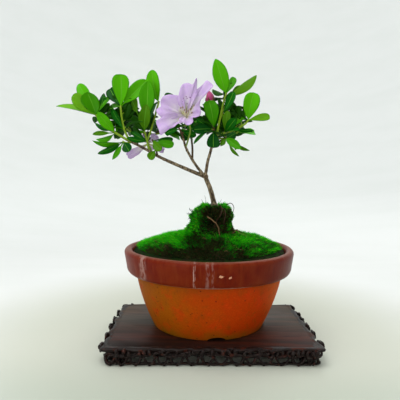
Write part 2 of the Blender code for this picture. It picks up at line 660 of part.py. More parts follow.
def make_trunk(material):
    """The trunk with its flared foot, and the fork's three stubs that the boughs butt on."""
    route = smooth_route((TRUNK_FOOT, *TRUNK_BENDS, FORK), 2)
    radii = tapered(route, TRUNK_RADIUS, TRUNK_TOP_RADIUS)
    radii[0], radii[1] = TRUNK_FOOT_RADIUS, TRUNK_RADIUS * 1.08
    route.append(FORK + (route[-1] - route[-2]).normalized() * 0.9)
    radii.append(TRUNK_TOP_RADIUS * 0.8)
    shapes = [tube(route, radii, TRUNK_SIDES)]
    for point in shapes[0][0][:TRUNK_SIDES]:
        point.z = TRUNK_FOOT.z
    for limb in LIMBS.values():
        path = limb_route(limb)
        ends = [FORK, point_along(path, STUB_LENGTH * 0.6), point_along(path, STUB_LENGTH)]
        shapes.append(tube(ends, [limb.start_radius * s for s in (1.2, 1.1, 1.02)], 8))
    return unite("trunk", shapes, material)


def make_boughs(material):
    boughs = {}
    for name, limb in LIMBS.items():
        route = cut_route(limb_route(limb), STUB_LENGTH + GAP)
        shape = tube(route, tapered(route, limb.start_radius, limb.end_radius), 8)
        boughs[name] = link_mesh(name, *shape, material)
    return boughs


def blade(base, tip, facing, width, thick, petiole, spread, bow):
    """A leaf or petal: narrow foot, broad middle and pointed tip, thickest along its rib.

    facing is where its upper side looks, as far as its length allows. spread gives the half
    widths at its two stations, as shares of the full half width, and bow lifts its middle by
    that share of its length.
    """
    along = (tip - base).normalized()
    face = facing - along * facing.dot(along)
    face = face.normalized() if face.length > 0.05 else side_of(along)
    across = face.cross(along)
    length = (tip - base).length
    foot = max(petiole, 0.06)
    stations = [(0.0, PETIOLE_RADIUS, PETIOLE_RADIUS)]
    if petiole > 0.2:
        stations.append((foot, PETIOLE_RADIUS, thick / 2))
    stations.append((foot + (1 - foot) * 0.42, width / 2 * spread[0], thick / 2))
    stations.append((foot + (1 - foot) * 0.76, width / 2 * spread[1], thick / 2))
    rings = []
    for share, half, deep in stations:
        centre = base.lerp(tip, share) + face * bow * length * math.sin(math.pi * share)
        rings.append([centre + across * half, centre + face * deep, centre - across * half,
                      centre - face * deep])
    points, faces = rings_to_shape(rings)
    faces.pop()
    last = (len(rings) - 1) * 4
    points.append(tip)
    faces += [(last + i, last + (i + 1) % 4, len(points) - 1) for i in range(4)]
    return points, faces


def leaf_tip(node, leaf):
    turn = math.radians(leaf.angle)
    return node + Vector((math.cos(turn) * leaf.reach, -leaf.forward, math.sin(turn) * leaf.reach))


def rule_leaf_tip(node, away, rng):
    """The tip of a leaf that the seeded rule points to the back or, away being -1, the front."""
    turn, off = rng.uniform(0, math.tau), math.radians(rng.uniform(25, 65))
    length = RULE_LEAF_LENGTH * rng.uniform(0.8, 1.15)
    out = Vector((math.cos(turn) * math.sin(off), away * math.cos(off),
                  math.sin(turn) * math.sin(off) * 0.8 + 0.15))
    return node + out.normalized() * length


def clear_of(shape, trees):
    tree = tree_of(shape)
    return not any(tree.overlap(other) for other in trees)


def grow_leaf(base, tip, facing, width, petiole, trees):
    """A leaf's shape in a list, which is empty where it would come too near another node."""
    along = (tip - base).normalized()
    probe = blade(base, tip + along * CLEARANCE, facing, width + 2 * CLEARANCE,
                  LEAF_THICK + 2 * CLEARANCE, petiole, (1.0, 0.9), LEAF_BOW)
    if not clear_of(probe, trees):
        return []
    return [blade(base, tip, facing, width, LEAF_THICK, petiole, LEAF_SPREAD, LEAF_BOW)]


def shoot_shapes(mass, tree):
    """Routes and solid shapes of a mass's shoots, the stem first."""
    routes, shapes = [], []
    for shoot in mass.shoots:
        points = [Vector(p) for p in shoot.points]
        if routes:
            route = smooth_route([nearest_on(routes[0], points[0]), *points[1:]], 2)
        else:
            route = seat(smooth_route(points, 2), shoot.radius, tree)
        routes.append(route)
        shapes.append(tube(route, tapered(route, shoot.radius, SHOOT_TIP_RADIUS), 5))
    return routes, shapes


def make_mass(name, mass, grown, material, trees):
    """One mass of foliage: its shoots, the leaves given for each and those of the rule."""
    rng = random.Random(name)
    routes, shapes = grown[0], list(grown[1])
    for route, shoot in zip(routes, mass.shoots):
        whole = route_length(route)
        for whorl in shoot.whorls:
            node = point_along(route, min(whole * whorl.share, whole - NODE_SETBACK))
            for leaf in whorl.leaves:
                shapes += grow_leaf(node, leaf_tip(node, leaf), FRONT, leaf.width, leaf.petiole, trees)
            for away in [1] * whorl.back_leaves + [-1] * whorl.front_leaves:
                shapes += rule_leaf(node, away, rng, trees)
    if mass.bud:
        shapes += bud_shapes(mass.bud)
    return unite(name, shapes, material)


def rule_leaf(node, away, rng, trees):
    """One leaf of the seeded rule, in a list that is empty where none of its tries has room."""
    for _ in range(RULE_TRIES):
        width = RULE_LEAF_WIDTH * rng.uniform(0.8, 1.15)
        facing = Vector((rng.uniform(-1, 1), rng.uniform(-1, 1), rng.uniform(0.2, 1))).normalized()
        grown = grow_leaf(node, rule_leaf_tip(node, away, rng), facing, width, RULE_PETIOLE, trees)
        if grown:
            return grown
    return []


def bud_shapes(bud):
    """A closed flower bud on its stalk."""
    node, tip = Vector(bud.node), Vector(bud.tip)
    along = (tip - node).normalized()
    foot = tip - along * bud.length
    stalk = tube([node, foot + along], [PETIOLE_RADIUS * 1.4, PETIOLE_RADIUS * 1.7], 4)
    girths = (0.25, 0.8, 1.0, 0.75, 0.2)
    route = [foot + along * bud.length * k / 4 for k in range(5)]
    return [stalk, tube(route, [bud.radius * girth for girth in girths], 6)]


def make_bloom(name, bloom, material, tree):
    """An open flower: stalk, funnel and its petals, fused."""
    route = seat(smooth_route(bloom.route, 2), PEDUNCLE_RADIUS, tree)
    end = route[-1]
    mouth = end + Vector((0, -bloom.throat_depth, 1.0))
    shapes = [tube(route, [PEDUNCLE_RADIUS] * len(route), 5)]
    funnel = [end - (mouth - end) * 0.15, end.lerp(mouth, 0.5), mouth]
    shapes.append(tube(funnel, [PEDUNCLE_RADIUS * 1.1, THROAT_RADIUS * 0.6, THROAT_RADIUS], 8))
    for petal in bloom.petals:
        tip = leaf_tip(mouth, petal)
        shapes.append(blade(mouth, tip, FRONT, petal.width, PETAL_THICK, 0.0, PETAL_SPREAD, PETAL_BOW))
    return unite(name, shapes, material)


def centre_on_origin():
    """Moves everything so that the bottom centre of the whole box is the origin."""
    bpy.context.view_layer.update()
    graph = bpy.context.evaluated_depsgraph_get()
    corners = []
    for thing in bpy.data.objects:
        if thing.type == "MESH" and not thing.hide_render:
            solid = thing.evaluated_get(graph)
            corners += [solid.matrix_world @ v.co for v in solid.data.vertices]
    low = [min(c[i] for c in corners) for i in range(3)]
    high = [max(c[i] for c in corners) for i in range(3)]
    anchor = bpy.data.objects.new("bonsai", None)
    bpy.context.scene.collection.objects.link(anchor)
    for thing in list(bpy.data.objects):
        if thing is not anchor and thing.parent is None:
            thing.parent = anchor
    anchor.location = (-(low[0] + high[0]) / 2, -(low[1] + high[1]) / 2, -low[2])


def shade_all():
    for thing in bpy.data.objects:
        if thing.type == "MESH" and thing.data.polygons:
            thing.data.shade_smooth()
            thing.data.set_sharp_from_angle(angle=math.radians(40))


def main():
    clear_scene()
    looks = make_materials()
    make_stand(looks["wood"])
    make_pot(looks["pot"])
    make_soil(looks["soil"])
    make_moss_mound(looks["moss"])
    hummock = make_hummock(looks["moss"])
    trunk = make_trunk(looks["bark"])
    boughs = make_boughs(looks["bark"])
    limb_trees = {name: tree_of(shape_of(thing)) for name, thing in boughs.items()}
    trees = [tree_of(shape_of(hummock)), tree_of(shape_of(trunk)), *limb_trees.values()]
    for name, bloom in BLOOMS.items():
        flower = make_bloom(name, bloom, looks["petal"], limb_trees[bloom.limb])
        trees.append(tree_of(shape_of(flower)))
    grown = {name: shoot_shapes(mass, limb_trees[mass.limb]) for name, mass in FOLIAGE.items()}
    waiting = {name: [tree_of(shape) for shape in shapes] for name, (_, shapes) in grown.items()}
    for name, mass in FOLIAGE.items():
        del waiting[name]
        others = trees + [tree for shoots in waiting.values() for tree in shoots]
        foliage = make_mass(name, mass, grown[name], looks["leaf"], others)
        trees.append(tree_of(shape_of(foliage)))
    shade_all()
    centre_on_origin()


main()
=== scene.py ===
"""Potted satsuki azalea bonsai: the finished surfaces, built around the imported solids.

The file is laid out as a Blender add-on and is run as a script. Positions are written in
millimetres about the pot's axis, with X to the right of the front view, Y away from it and Z
up from the surface that the stand rests on. place() turns them into the frame's metres.
"""

import math
import random
from collections import namedtuple

import bpy
from bpy.props import FloatProperty, FloatVectorProperty, IntProperty, PointerProperty
from mathutils import Matrix, Vector, noise


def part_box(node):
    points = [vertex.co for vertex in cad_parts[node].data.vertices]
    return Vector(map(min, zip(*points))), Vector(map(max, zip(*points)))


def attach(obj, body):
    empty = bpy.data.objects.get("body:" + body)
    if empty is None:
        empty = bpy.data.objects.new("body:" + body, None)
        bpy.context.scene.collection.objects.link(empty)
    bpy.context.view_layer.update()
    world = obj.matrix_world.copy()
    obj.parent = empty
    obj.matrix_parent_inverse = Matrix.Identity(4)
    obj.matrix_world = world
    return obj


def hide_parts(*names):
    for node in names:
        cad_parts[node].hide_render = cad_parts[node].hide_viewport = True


bl_info = {
    "name": "Satsuki azalea bonsai",
    "version": (1, 0, 0),
    "blender": (4, 5, 0),
    "location": "3D View > Sidebar > Bonsai",
    "description": "Builds the finished surfaces of a potted azalea bonsai around its solids",
    "category": "Add Mesh",
}

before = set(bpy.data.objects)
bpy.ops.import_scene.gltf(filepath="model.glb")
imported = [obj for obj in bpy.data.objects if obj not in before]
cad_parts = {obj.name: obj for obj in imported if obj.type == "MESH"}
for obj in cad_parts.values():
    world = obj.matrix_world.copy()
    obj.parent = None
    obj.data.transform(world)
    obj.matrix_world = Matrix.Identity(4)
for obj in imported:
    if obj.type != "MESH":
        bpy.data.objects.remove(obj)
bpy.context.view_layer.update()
POT_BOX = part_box("pot")
POT_AXIS = (POT_BOX[0] + POT_BOX[1]) / 2
MM = 0.001


def display(red, green, blue):
    """A colour as a screen shows it, turned into the linear one that a shader takes."""
    return tuple(((c + 0.055) / 1.055) ** 2.4 if c > 0.04045 else c / 12.92
                 for c in (red, green, blue))


def colour_of(name, description, red, green, blue):
    return FloatVectorProperty(name=name, description=description, subtype="COLOR", size=3,
                               min=0, max=1, default=display(red, green, blue))


def length_of(name, description, default, least=0):
    return FloatProperty(name=name, description=description, unit="LENGTH", default=default * MM,
                         min=least * MM)


# Settings that a user would change


class StageSettings(bpy.types.PropertyGroup):
    floor_colour: colour_of("Floor colour", "Colour of the floor", 0.795, 0.80, 0.75)
    wall_colour: colour_of("Wall colour", "Colour of the backdrop", 0.91, 0.91, 0.905)
    wall_glow: FloatProperty(name="Wall glow", description="Light that shines through the backdrop",
                             default=0.12, min=0)
    daylight: FloatProperty(name="Daylight", description="Strength of the light from all round",
                            default=1.1, min=0)
    lamp_power: FloatProperty(name="Lamp power", description="Power of the large soft lamp above",
                              default=1.65, min=0, unit="POWER")


class StandSettings(bpy.types.PropertyGroup):
    wood_colour: colour_of("Wood colour", "Red-brown of the polished board", 0.33, 0.13, 0.07)
    dark_colour: colour_of("Dark colour", "Near-black of the carving and the grain", 0.10, 0.06, 0.05)
    root_radius: length_of("Root radius", "Mean radius of the carved roots", 0.85, 0.3)


class PotSettings(bpy.types.PropertyGroup):
    ochre: colour_of("Ochre clay", "Clay colour on the pale side of the pot", 0.59, 0.31, 0.01)
    orange: colour_of("Orange clay", "Clay colour on the redder side of the pot", 0.70, 0.205, 0)
    glaze: colour_of("Glaze", "Dark red-brown of the rim's glaze", 0.385, 0.08, 0.01)
    wobble: length_of("Wobble", "How far the pot's wall strays from round", 0.22)


class MossSettings(bpy.types.PropertyGroup):
    bright: colour_of("Bright moss", "Colour of fresh moss", 0.20, 0.78, 0.02)
    middle: colour_of("Middle moss", "Colour of most of the moss", 0.06, 0.53, 0.02)
    # Dark moss also serves as painted shade by the pot's rim and in the shaded patches.
    dark: colour_of("Dark moss", "Colour of moss in the hollows", 0.09, 0.21, 0.03)
    lime: colour_of("Lime moss", "Colour of the youngest shoots of moss", 0.46, 0.84, 0.10)
    tufts: IntProperty(name="Tufts", description="How many tufts of moss grow on the cushion",
                       default=20000, min=100)
    blade: length_of("Blade length", "Mean length of a moss blade", 3.3, 0.5)


class FoliageSettings(bpy.types.PropertyGroup):
    bright: colour_of("Bright leaf", "Upper side of a young leaf in the light", 0.30, 0.64, 0)
    fresh: colour_of("Pale leaf", "Pale side of a young leaf", 0.39, 0.63, 0.08)
    middle: colour_of("Middle leaf", "Upper side of a grown leaf", 0.24, 0.55, 0)
    olive: colour_of("Olive leaf", "Upper side of an old leaf", 0.27, 0.47, 0.02)
    # The bright leaf is a young leaf in painted light, and the dark and deep leaves are the leaves' green in
    # painted shade.
    dark: colour_of("Dark leaf", "Upper side of a shaded leaf", 0.05, 0.35, 0.02)
    deep: colour_of("Deep leaf", "Upper side of the darkest leaves", 0.02, 0.27, 0.03)
    rib: colour_of("Midrib", "Line along a leaf's middle", 0.38, 0.64, 0.15)
    young_stem: colour_of("Young stem", "Colour of this year's shoots", 0.47, 0.59, 0.05)
    thickness: length_of("Leaf thickness", "Thickness of a leaf at its rib", 0.3, 0.1)


class BlossomSettings(bpy.types.PropertyGroup):
    petal: colour_of("Petal", "Lilac of the petals' outer part", 0.78, 0.685, 0.83)
    pale: colour_of("Pale petal", "Pale middle of the blossom", 0.89, 0.86, 0.88)
    throat: colour_of("Throat", "Yellow-green of the throat", 0.74, 0.76, 0.42)
    bud: colour_of("Bud", "Deep pink of the closed bud", 0.66, 0.22, 0.42)
    frill: length_of("Frill", "How far the petals' edges wave", 0.9)


# Points, routes and meshes


UP, FRONT = Vector((0, 0, 1)), Vector((0, -1, 0))
ROUTE_STEPS = 100


def place(point):
    """A point in millimetres about the pot's axis, in the frame's metres."""
    return Vector((POT_AXIS.x + point[0] * MM, POT_AXIS.y + point[1] * MM, point[2] * MM))


def around(count):
    """Evenly spaced turns, once round."""
    return [math.tau * k / count for k in range(count)]


def level(turn, reach=1, height=0):
    """The point at a turn and a reach from the pot's axis, at some height."""
    return Vector((reach * math.cos(turn), reach * math.sin(turn), height))


def spoke(across, other, turn):
    """The direction at a turn from one direction towards another that is square to it."""
    return across * math.cos(turn) + other * math.sin(turn)


def between(stops, share):
    """The values on either side of a share, and how far it is from the first to the second."""
    for (low, start), (high, end) in zip(stops, stops[1:]):
        if share <= high:
            return start, end, (share - low) / (high - low)
    return stops[-1][1], stops[-1][1], 0


class Sculpt:
    """Collects points in millimetres, faces and the number of each face's material."""

    def __init__(self):
        self.points, self.faces, self.tones, self.tints = [], [], [], []

    def add(self, shape, tone=0):
        """Takes a shape as (points, faces), with one tone for all its faces or one for each."""
        points, faces = shape
        first = len(self.points)
        self.points.extend(points)
        self.faces.extend(tuple(first + i for i in face) for face in faces)
        self.tones.extend([tone] * len(faces) if isinstance(tone, int) else tone)

    def build(self, name, materials):
        mesh = bpy.data.meshes.new(name)
        mesh.from_pydata([place(p) for p in self.points], [], self.faces)
        for material in materials:
            mesh.materials.append(material)
        mesh.polygons.foreach_set("material_index", self.tones)
        mesh.polygons.foreach_set("use_smooth", [True] * len(mesh.polygons))
        if self.tints:
            tint = mesh.color_attributes.new("tint", "FLOAT_COLOR", "POINT")
            tint.data.foreach_set("color", [c for colour in self.tints for c in (*colour, 1)])
        mesh.update()
        thing = bpy.data.objects.new(name, mesh)
        bpy.context.scene.collection.objects.link(thing)
        return thing


def hand_over(piece, slot, *nodes):
    """Says what the piece rides on and the nodes it stands for; the slot is not used."""
    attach(piece, "root")
    if nodes:
        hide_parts(*nodes)


def bake(thing):
    """Puts what its modifiers make of an object's mesh in the mesh's place."""
    bpy.context.view_layer.update()
    graph = bpy.context.evaluated_depsgraph_get()
    mesh = bpy.data.meshes.new_from_object(thing.evaluated_get(graph))
    thing.modifiers.clear()
    thing.data = mesh


def side_of(direction):
    """A unit vector square to the direction, chosen the same way each time."""
    helper = UP if abs(direction.z) < 0.9 else Vector((0, 1, 0))
    return direction.cross(helper).normalized()


def skin(rings, ends=True):
    """A shape through rings of equal count, with flat ends or open."""
    count = len(rings[0])
    points = [p for ring in rings for p in ring]
    faces = [tuple(reversed(range(count)))] if ends else []
    for low in range(0, len(points) - count, count):
        high = low + count
        for i in range(count):
            j = (i + 1) % count
            faces.append((low + i, low + j, high + j, high + i))
    if ends:
        faces.append(tuple(range(len(points) - count, len(points))))
    return points, faces


def tube(route, radii, sides):
    """A round bar along a route, its rings carried along without twisting."""
    rings, across = [], side_of((route[1] - route[0]).normalized())
    for i, point in enumerate(route):
        ahead = (route[min(i + 1, len(route) - 1)] - route[max(i - 1, 0)]).normalized()
        across = (across - ahead * across.dot(ahead)).normalized()
        other = ahead.cross(across)
        rings.append([point + spoke(across, other, t) * radii[i] for t in around(sides)])
    return skin(rings)


def smooth_route(bends, per_span=3):
    """Points on a Catmull-Rom curve through the bends."""
    bends = [Vector(b) for b in bends]
    padded = [bends[0] * 2 - bends[1], *bends, bends[-1] * 2 - bends[-2]]
    route = []
    for a, b, c, d in zip(padded, padded[1:], padded[2:], padded[3:]):
        for step in range(per_span):
            t = step / per_span
            route.append(0.5 * (2 * b + (c - a) * t + (2 * a - 5 * b + 4 * c - d) * t * t
                                + (3 * b - a - 3 * c + d) * t ** 3))
    return [*route, bends[-1]]


def route_length(route):
    return sum((b - a).length for a, b in zip(route, route[1:]))


def point_along(route, distance):
    for a, b in zip(route, route[1:]):
        span = (b - a).length
        if distance <= span:
            return a.lerp(b, distance / span)
        distance -= span
    return route[-1].copy()


def nearest_on(route, point):
    """The nearest of the places that divide a route into equal steps."""
    whole = route_length(route)
    places = [point_along(route, whole * k / ROUTE_STEPS) for k in range(ROUTE_STEPS)]
    return min(places, key=lambda spot: (spot - point).length)


def tapered(route, start_radius, end_radius):
    """A radius for each point of a route, from one end's to the other's."""
    whole, passed, radii = route_length(route), 0, []
    for i, point in enumerate(route):
        passed += (point - route[i - 1]).length if i else 0
        radii.append(start_radius + (end_radius - start_radius) * passed / whole)
    return radii


def bead(centre, radii, rows=6, sides=8, along=UP):
    """A small ellipsoid, as wide as radii[0] and as long as radii[1] along its axis."""
    across = side_of(along)
    other = along.cross(across)
    rings = []
    for row in range(rows + 1):
        tilt = math.pi * (0.04 + 0.92 * row / rows)
        girth = math.sin(tilt) * radii[0]
        middle = centre - along * (math.cos(tilt) * radii[1])
        rings.append([middle + spoke(across, other, t) * girth for t in around(sides)])
    return skin(rings)


def blob(point, scale, seed=0):
    """Smooth noise between about -1 and 1, whose lumps are about as long as the scale in mm."""
    return noise.noise(Vector(point) / scale + Vector((seed, seed * 1.7, -seed)))


# Finishes


class Finish:
    """A material under construction, with short calls for the nodes that it needs."""

    def __init__(self, name, roughness, specular):
        self.material = bpy.data.materials.new(name)
        self.material.use_nodes = True
        self.tree = self.material.node_tree
        self.shader = self.tree.nodes["Principled BSDF"]
        self.shader.inputs["Roughness"].default_value = roughness
        self.shader.inputs["Specular IOR Level"].default_value = specular

    def node(self, kind, **settings):
        made = self.tree.nodes.new("ShaderNode" + kind)
        for key, value in settings.items():
            setattr(made, key, value)
        return made

    def feed(self, value, socket):
        """Links an output to the socket, or sets it to a number, a setting or a screen colour."""
        if isinstance(value, bpy.types.NodeSocket):
            self.tree.links.new(value, socket)
        elif isinstance(value, (int, float)):
            socket.default_value = value
        else:
            socket.default_value = (*(display(*value) if isinstance(value, tuple) else value), 1)

    def position(self, stretch=(1, 1, 1)):
        coordinates, mapping = self.node("TexCoord"), self.node("Mapping")
        self.feed(coordinates.outputs["Object"], mapping.inputs["Vector"])
        mapping.inputs["Scale"].default_value = stretch
        return mapping.outputs[0]

    def axis(self, letter):
        """The position along one axis, in millimetres from the pot's axis or the floor."""
        split = self.node("SeparateXYZ")
        self.feed(self.position(), split.inputs[0])
        start = {"X": POT_AXIS.x, "Y": POT_AXIS.y, "Z": 0}[letter]
        return self.times(self.sums("SUBTRACT", split.outputs[letter], start), 1 / MM)

    def strayed(self, letter, stray, reach):
        """The position along one axis, moved by noise of up to so many millimetres."""
        return self.sums("ADD", self.axis(letter), self.times(stray, reach))

    def from_pot(self):
        """The level distance from the pot's axis, in millimetres."""
        squares = [self.times(self.axis(letter), self.axis(letter)) for letter in "XY"]
        return self.sums("POWER", self.sums("ADD", *squares), 0.5)

    def noise(self, size, detail=4, stretch=(1, 1, 1), rough=0.55):
        """Noise from 0 to 1, whose lumps are about this many millimetres across."""
        texture = self.node("TexNoise")
        for key, value in (("Scale", 1 / (size * MM)), ("Detail", detail), ("Roughness", rough)):
            texture.inputs[key].default_value = value
        self.feed(self.position(stretch), texture.inputs["Vector"])
        return texture.outputs[0]

    def cells(self, size):
        """The distance to the nearest of many scattered points, in shares of their spacing."""
        texture = self.node("TexVoronoi")
        texture.inputs["Scale"].default_value = 1 / (size * MM)
        self.feed(self.position(), texture.inputs["Vector"])
        return texture.outputs["Distance"]

    def sums(self, operation, first, second):
        maths = self.node("Math", operation=operation)
        self.feed(first, maths.inputs[0])
        self.feed(second, maths.inputs[1])
        return maths.outputs[0]

    def times(self, first, second):
        return self.sums("MULTIPLY", first, second)

    def off(self, value, centre):
        """How far a value is from a centre, to either side."""
        return self.sums("ABSOLUTE", self.sums("SUBTRACT", value, centre), 0)

    def fade(self, value, low, high, start=0, end=1):
        """Goes smoothly from start to end as the value goes from low to high."""
        ranged = self.node("MapRange", interpolation_type="SMOOTHSTEP")
        for socket, number in zip(ranged.inputs[:5], (value, low, high, start, end)):
            self.feed(number, socket)
        return ranged.outputs[0]

    def mix(self, factor, first, second):
        mixer = self.node("MixRGB")
        for socket, value in zip(mixer.inputs, (factor, first, second)):
            self.feed(value, socket)
        return mixer.outputs[0]

    def layers(self, colour, *layers):
        """Lays colours over the first, each up to its share as its value goes from low to high."""
        for value, low, high, share, upper in layers:
            colour = self.mix(self.fade(value, low, high, 0, share), colour, upper)
        return colour

    def colour(self, value):
        self.feed(value, self.shader.inputs["Base Color"])

    def bump(self, height, strength, depth):
        """Relief from a height between 0 and 1, its depth in millimetres."""
        bump = self.node("Bump")
        bump.inputs["Strength"].default_value = strength
        bump.inputs["Distance"].default_value = depth * MM
        self.feed(height, bump.inputs["Height"])
        self.feed(bump.outputs[0], self.shader.inputs["Normal"])


def plain_finish(name, colour, roughness, specular, grain=0, grain_size=0.8):
    """One even colour, with a fine relief where grain gives its depth in millimetres."""
    finish = Finish(name, roughness, specular)
    finish.colour(colour)
    if grain:
        finish.bump(finish.noise(grain_size, 3), 0.6, grain)
    return finish.material


def board_finish(settings):
    """Polished rosewood with its grain along the board, and a painted grey sheen towards the back."""
    finish = Finish("rosewood_board", 0.42, 0.08)
    streaks = finish.noise(9, 6, (0.07, 1, 1), 0.6)
    pores = finish.noise(1.6, 3, (0.06, 1, 1))
    patches = finish.noise(34, 2, (0.4, 1, 1))
    finish.colour(finish.layers(
        settings.dark_colour,
        (streaks, 0.38, 0.64, 1, settings.wood_colour),
        (patches, 0.35, 0.7, 0.4, (0.24, 0.14, 0.11)),
        # Painted sheen: greyer towards the back, a painted reflection of the pale surroundings.
        (finish.strayed("Y", patches, 30), -22, 32, 0.6, (0.31, 0.27, 0.21)),
        (pores, 0.56, 0.68, 0.8, settings.dark_colour)))
    finish.feed(finish.fade(patches, 0.3, 0.7, 0.36, 0.52), finish.shader.inputs["Roughness"])
    finish.bump(finish.sums("ADD", pores, streaks), 0.35, 0.12)
    return finish.material


def carving_finish(settings):
    """The same wood stained nearly black, flecked at random with its red-brown as painted highlights."""
    finish = Finish("rosewood_carving", 0.4, 0.15)
    # Painted highlights: red-brown flecks at random on the near-black stain.
    finish.colour(finish.layers(settings.dark_colour,
                                (finish.noise(3.2, 4), 0.54, 0.74, 0.6, settings.wood_colour)))
    finish.bump(finish.noise(0.9, 4), 0.7, 0.25)
    return finish.material


# Places along X between which ochre turns to orange, and heights between which algae and the painted shade
# under the rim begin
CLAY_SIDES, ALGAE_HEIGHTS, RIM_SHADE_HEIGHTS = (-20, 42), (29, 18), (52, 60)
PIT_SPACING, PIT_SIZE = 5.5, (0.07, 0.12)


def clay_finish(settings):
    """Orange clay: ochre on the left, redder on the right, with pits and algae at its foot, painted light on
    its right flank and painted shade under the rim.
    """
    finish = Finish("orange_clay", 0.6, 0.05)
    cloud, speckle = finish.noise(16, 5), finish.noise(0.9, 3, rough=0.75)
    height = finish.strayed("Z", cloud, 16)
    clay = finish.layers(
        settings.ochre,
        (finish.strayed("X", cloud, 46), *CLAY_SIDES, 1, settings.orange),
        (finish.noise(7, 5), 0.5, 0.72, 0.6, (0.76, 0.20, 0.02)),
        # Painted light: a lighter orange on the pot's right flank.
        (finish.axis("X"), 34, 50, 0.6, (0.80, 0.38, 0.02)),
        (finish.noise(4, 6), 0.56, 0.75, 0.45, (0.50, 0.27, 0.05)),
        (speckle, 0.5, 0.66, 0.25, (0.46, 0.20, 0.02)),
        (speckle, 0.48, 0.34, 0.18, (0.85, 0.42, 0.06)),
        (finish.noise(3, 4, (1, 1, 0.55), 0.65), 0.52, 0.7, 0.5, (0.46, 0.24, 0.03)),
        (height, *ALGAE_HEIGHTS, 0.75, (0.42, 0.33, 0.05)),
        # Painted shade: darker in patches just under the overhanging rim.
        (height, *RIM_SHADE_HEIGHTS, 0.4, (0.45, 0.26, 0.05)))
    pits = finish.fade(finish.cells(PIT_SPACING), *PIT_SIZE, 1, 0)
    finish.colour(finish.mix(finish.times(pits, 0.7), clay, (0.24, 0.09, 0.03)))
    finish.bump(finish.sums("SUBTRACT", finish.noise(1.4, 5), pits), 0.5, 0.22)
    return finish.material


# Each run of lime on the glaze: its X, half width and how white it is
LIME_RUNS = ((-43, 2.2, 0.26), (-9.3, 0.35, 0.5), (-8.2, 0.25, 0.25), (-0.8, 1.1, 0.15),
             (2.6, 0.7, 0.12))
# Each chip in the glaze: its X, height and half width
CHIPS = ((7.6, 60.3, 1.4), (13.2, 59.5, 1.2))


def add_lime(finish, glaze, wavy_x, front):
    """Runs of lime down the front of the glaze, broken up by noise."""
    broken = finish.fade(finish.noise(2.2, 5, (1.6, 1.6, 0.5)), 0.4, 0.56)
    for x, half, white in LIME_RUNS:
        run = finish.fade(finish.off(wavy_x, x), half * 0.4, half * 1.5, white, 0)
        run = finish.times(finish.times(run, broken), front)
        glaze = finish.mix(run, glaze, (0.84, 0.74, 0.70))
    return glaze


def add_chips(finish, glaze, wavy_x, front):
    """Chips in the front of the glaze, with uneven edges."""
    uneven = finish.fade(finish.noise(1.3, 3), 0.35, 0.65, 0.35, 2.2)
    for x, z, half in CHIPS:
        sideways = finish.sums("SUBTRACT", wavy_x, x)
        upwards = finish.times(finish.sums("SUBTRACT", finish.axis("Z"), z), 1.7)
        off = finish.sums("ADD", finish.times(sideways, sideways), finish.times(upwards, upwards))
        chip = finish.fade(finish.times(off, uneven), half * half * 0.5, half * half, 0.85, 0)
        glaze = finish.mix(finish.times(chip, front), glaze, (0.88, 0.66, 0.52))
    return glaze


def glaze_finish(settings):
    """Dark red-brown drip glaze: streaked, with a painted highlight along the lip and a painted grey sheen
    towards the right, with lime and chips.
    """
    finish = Finish("drip_glaze", 0.36, 0.07)
    streaks, cloud = finish.noise(2.6, 4, (1, 1, 0.12)), finish.noise(11, 4)
    height = finish.strayed("Z", streaks, 1.4)
    glaze = finish.layers(
        settings.glaze,
        (cloud, 0.3, 0.72, 1, (0.44, 0.145, 0.03)),
        (streaks, 0.5, 0.72, 0.5, (0.46, 0.18, 0.06)),
        (streaks, 0.46, 0.3, 0.5, (0.30, 0.06, 0.01)),
        # Painted sheen: greyer towards the right of the rim.
        (finish.axis("X"), 15, 55, 0.6, (0.34, 0.11, 0.06)),
        # Painted highlight: a pale line along the lip.
        (height, 68.3, 69.4, 0.45, (0.47, 0.28, 0.20)))
    front = finish.fade(finish.axis("Y"), -20, -30)
    worn = finish.fade(finish.off(finish.axis("X"), 8), 14, 20, 0.6, 0.12)
    foot = finish.times(finish.fade(height, 52.9, 53.6, 1, 0), worn)
    glaze = finish.mix(foot, glaze, (0.66, 0.52, 0.46))
    ragged = finish.times(finish.noise(5, 3), 2.2)
    wavy_x = finish.sums("ADD", finish.axis("X"), finish.sums("SUBTRACT", ragged, 1.1))
    glaze = add_lime(finish, glaze, wavy_x, front)
    finish.colour(add_chips(finish, glaze, wavy_x, front))
    finish.bump(finish.sums("ADD", streaks, cloud), 0.35, 0.3)
    return finish.material


def bark_finish():
    """Grey-brown bark, furrowed along the limb."""
    finish = Finish("azalea_bark", 0.78, 0.25)
    furrows = finish.noise(1.1, 5, (1, 1, 0.3), 0.65)
    finish.colour(finish.layers(
        (0.20, 0.15, 0.10), (furrows, 0.4, 0.62, 1, (0.58, 0.51, 0.40)),
        (finish.noise(4.5, 3), 0.48, 0.7, 0.5, (0.33, 0.24, 0.17))))
    finish.bump(furrows, 0.8, 0.35)
    return finish.material


def ground_finish(settings):
    """The felt of moss stems and peat under the tufts."""
    finish = Finish("moss_felt", 0.95, 0.1)
    felt = finish.noise(2.2, 6, rough=0.7)
    finish.colour(finish.layers(
        (0.05, 0.06, 0.02), (felt, 0.36, 0.66, 1, settings.dark),
        (finish.noise(13, 3), 0.46, 0.64, 0.55, (0.15, 0.12, 0.06))))
    finish.bump(felt, 1, 0.9)
    return finish.material


def soil_finish():
    """Dark crumbly potting soil."""
    finish = Finish("potting_soil", 0.95, 0.2)
    crumbs = finish.cells(1.9)
    finish.colour(finish.layers((0.20, 0.15, 0.10),
                                (crumbs, 0.1, 0.6, 1, (0.07, 0.05, 0.04))))
    finish.bump(crumbs, 0.9, 0.8)
    return finish.material


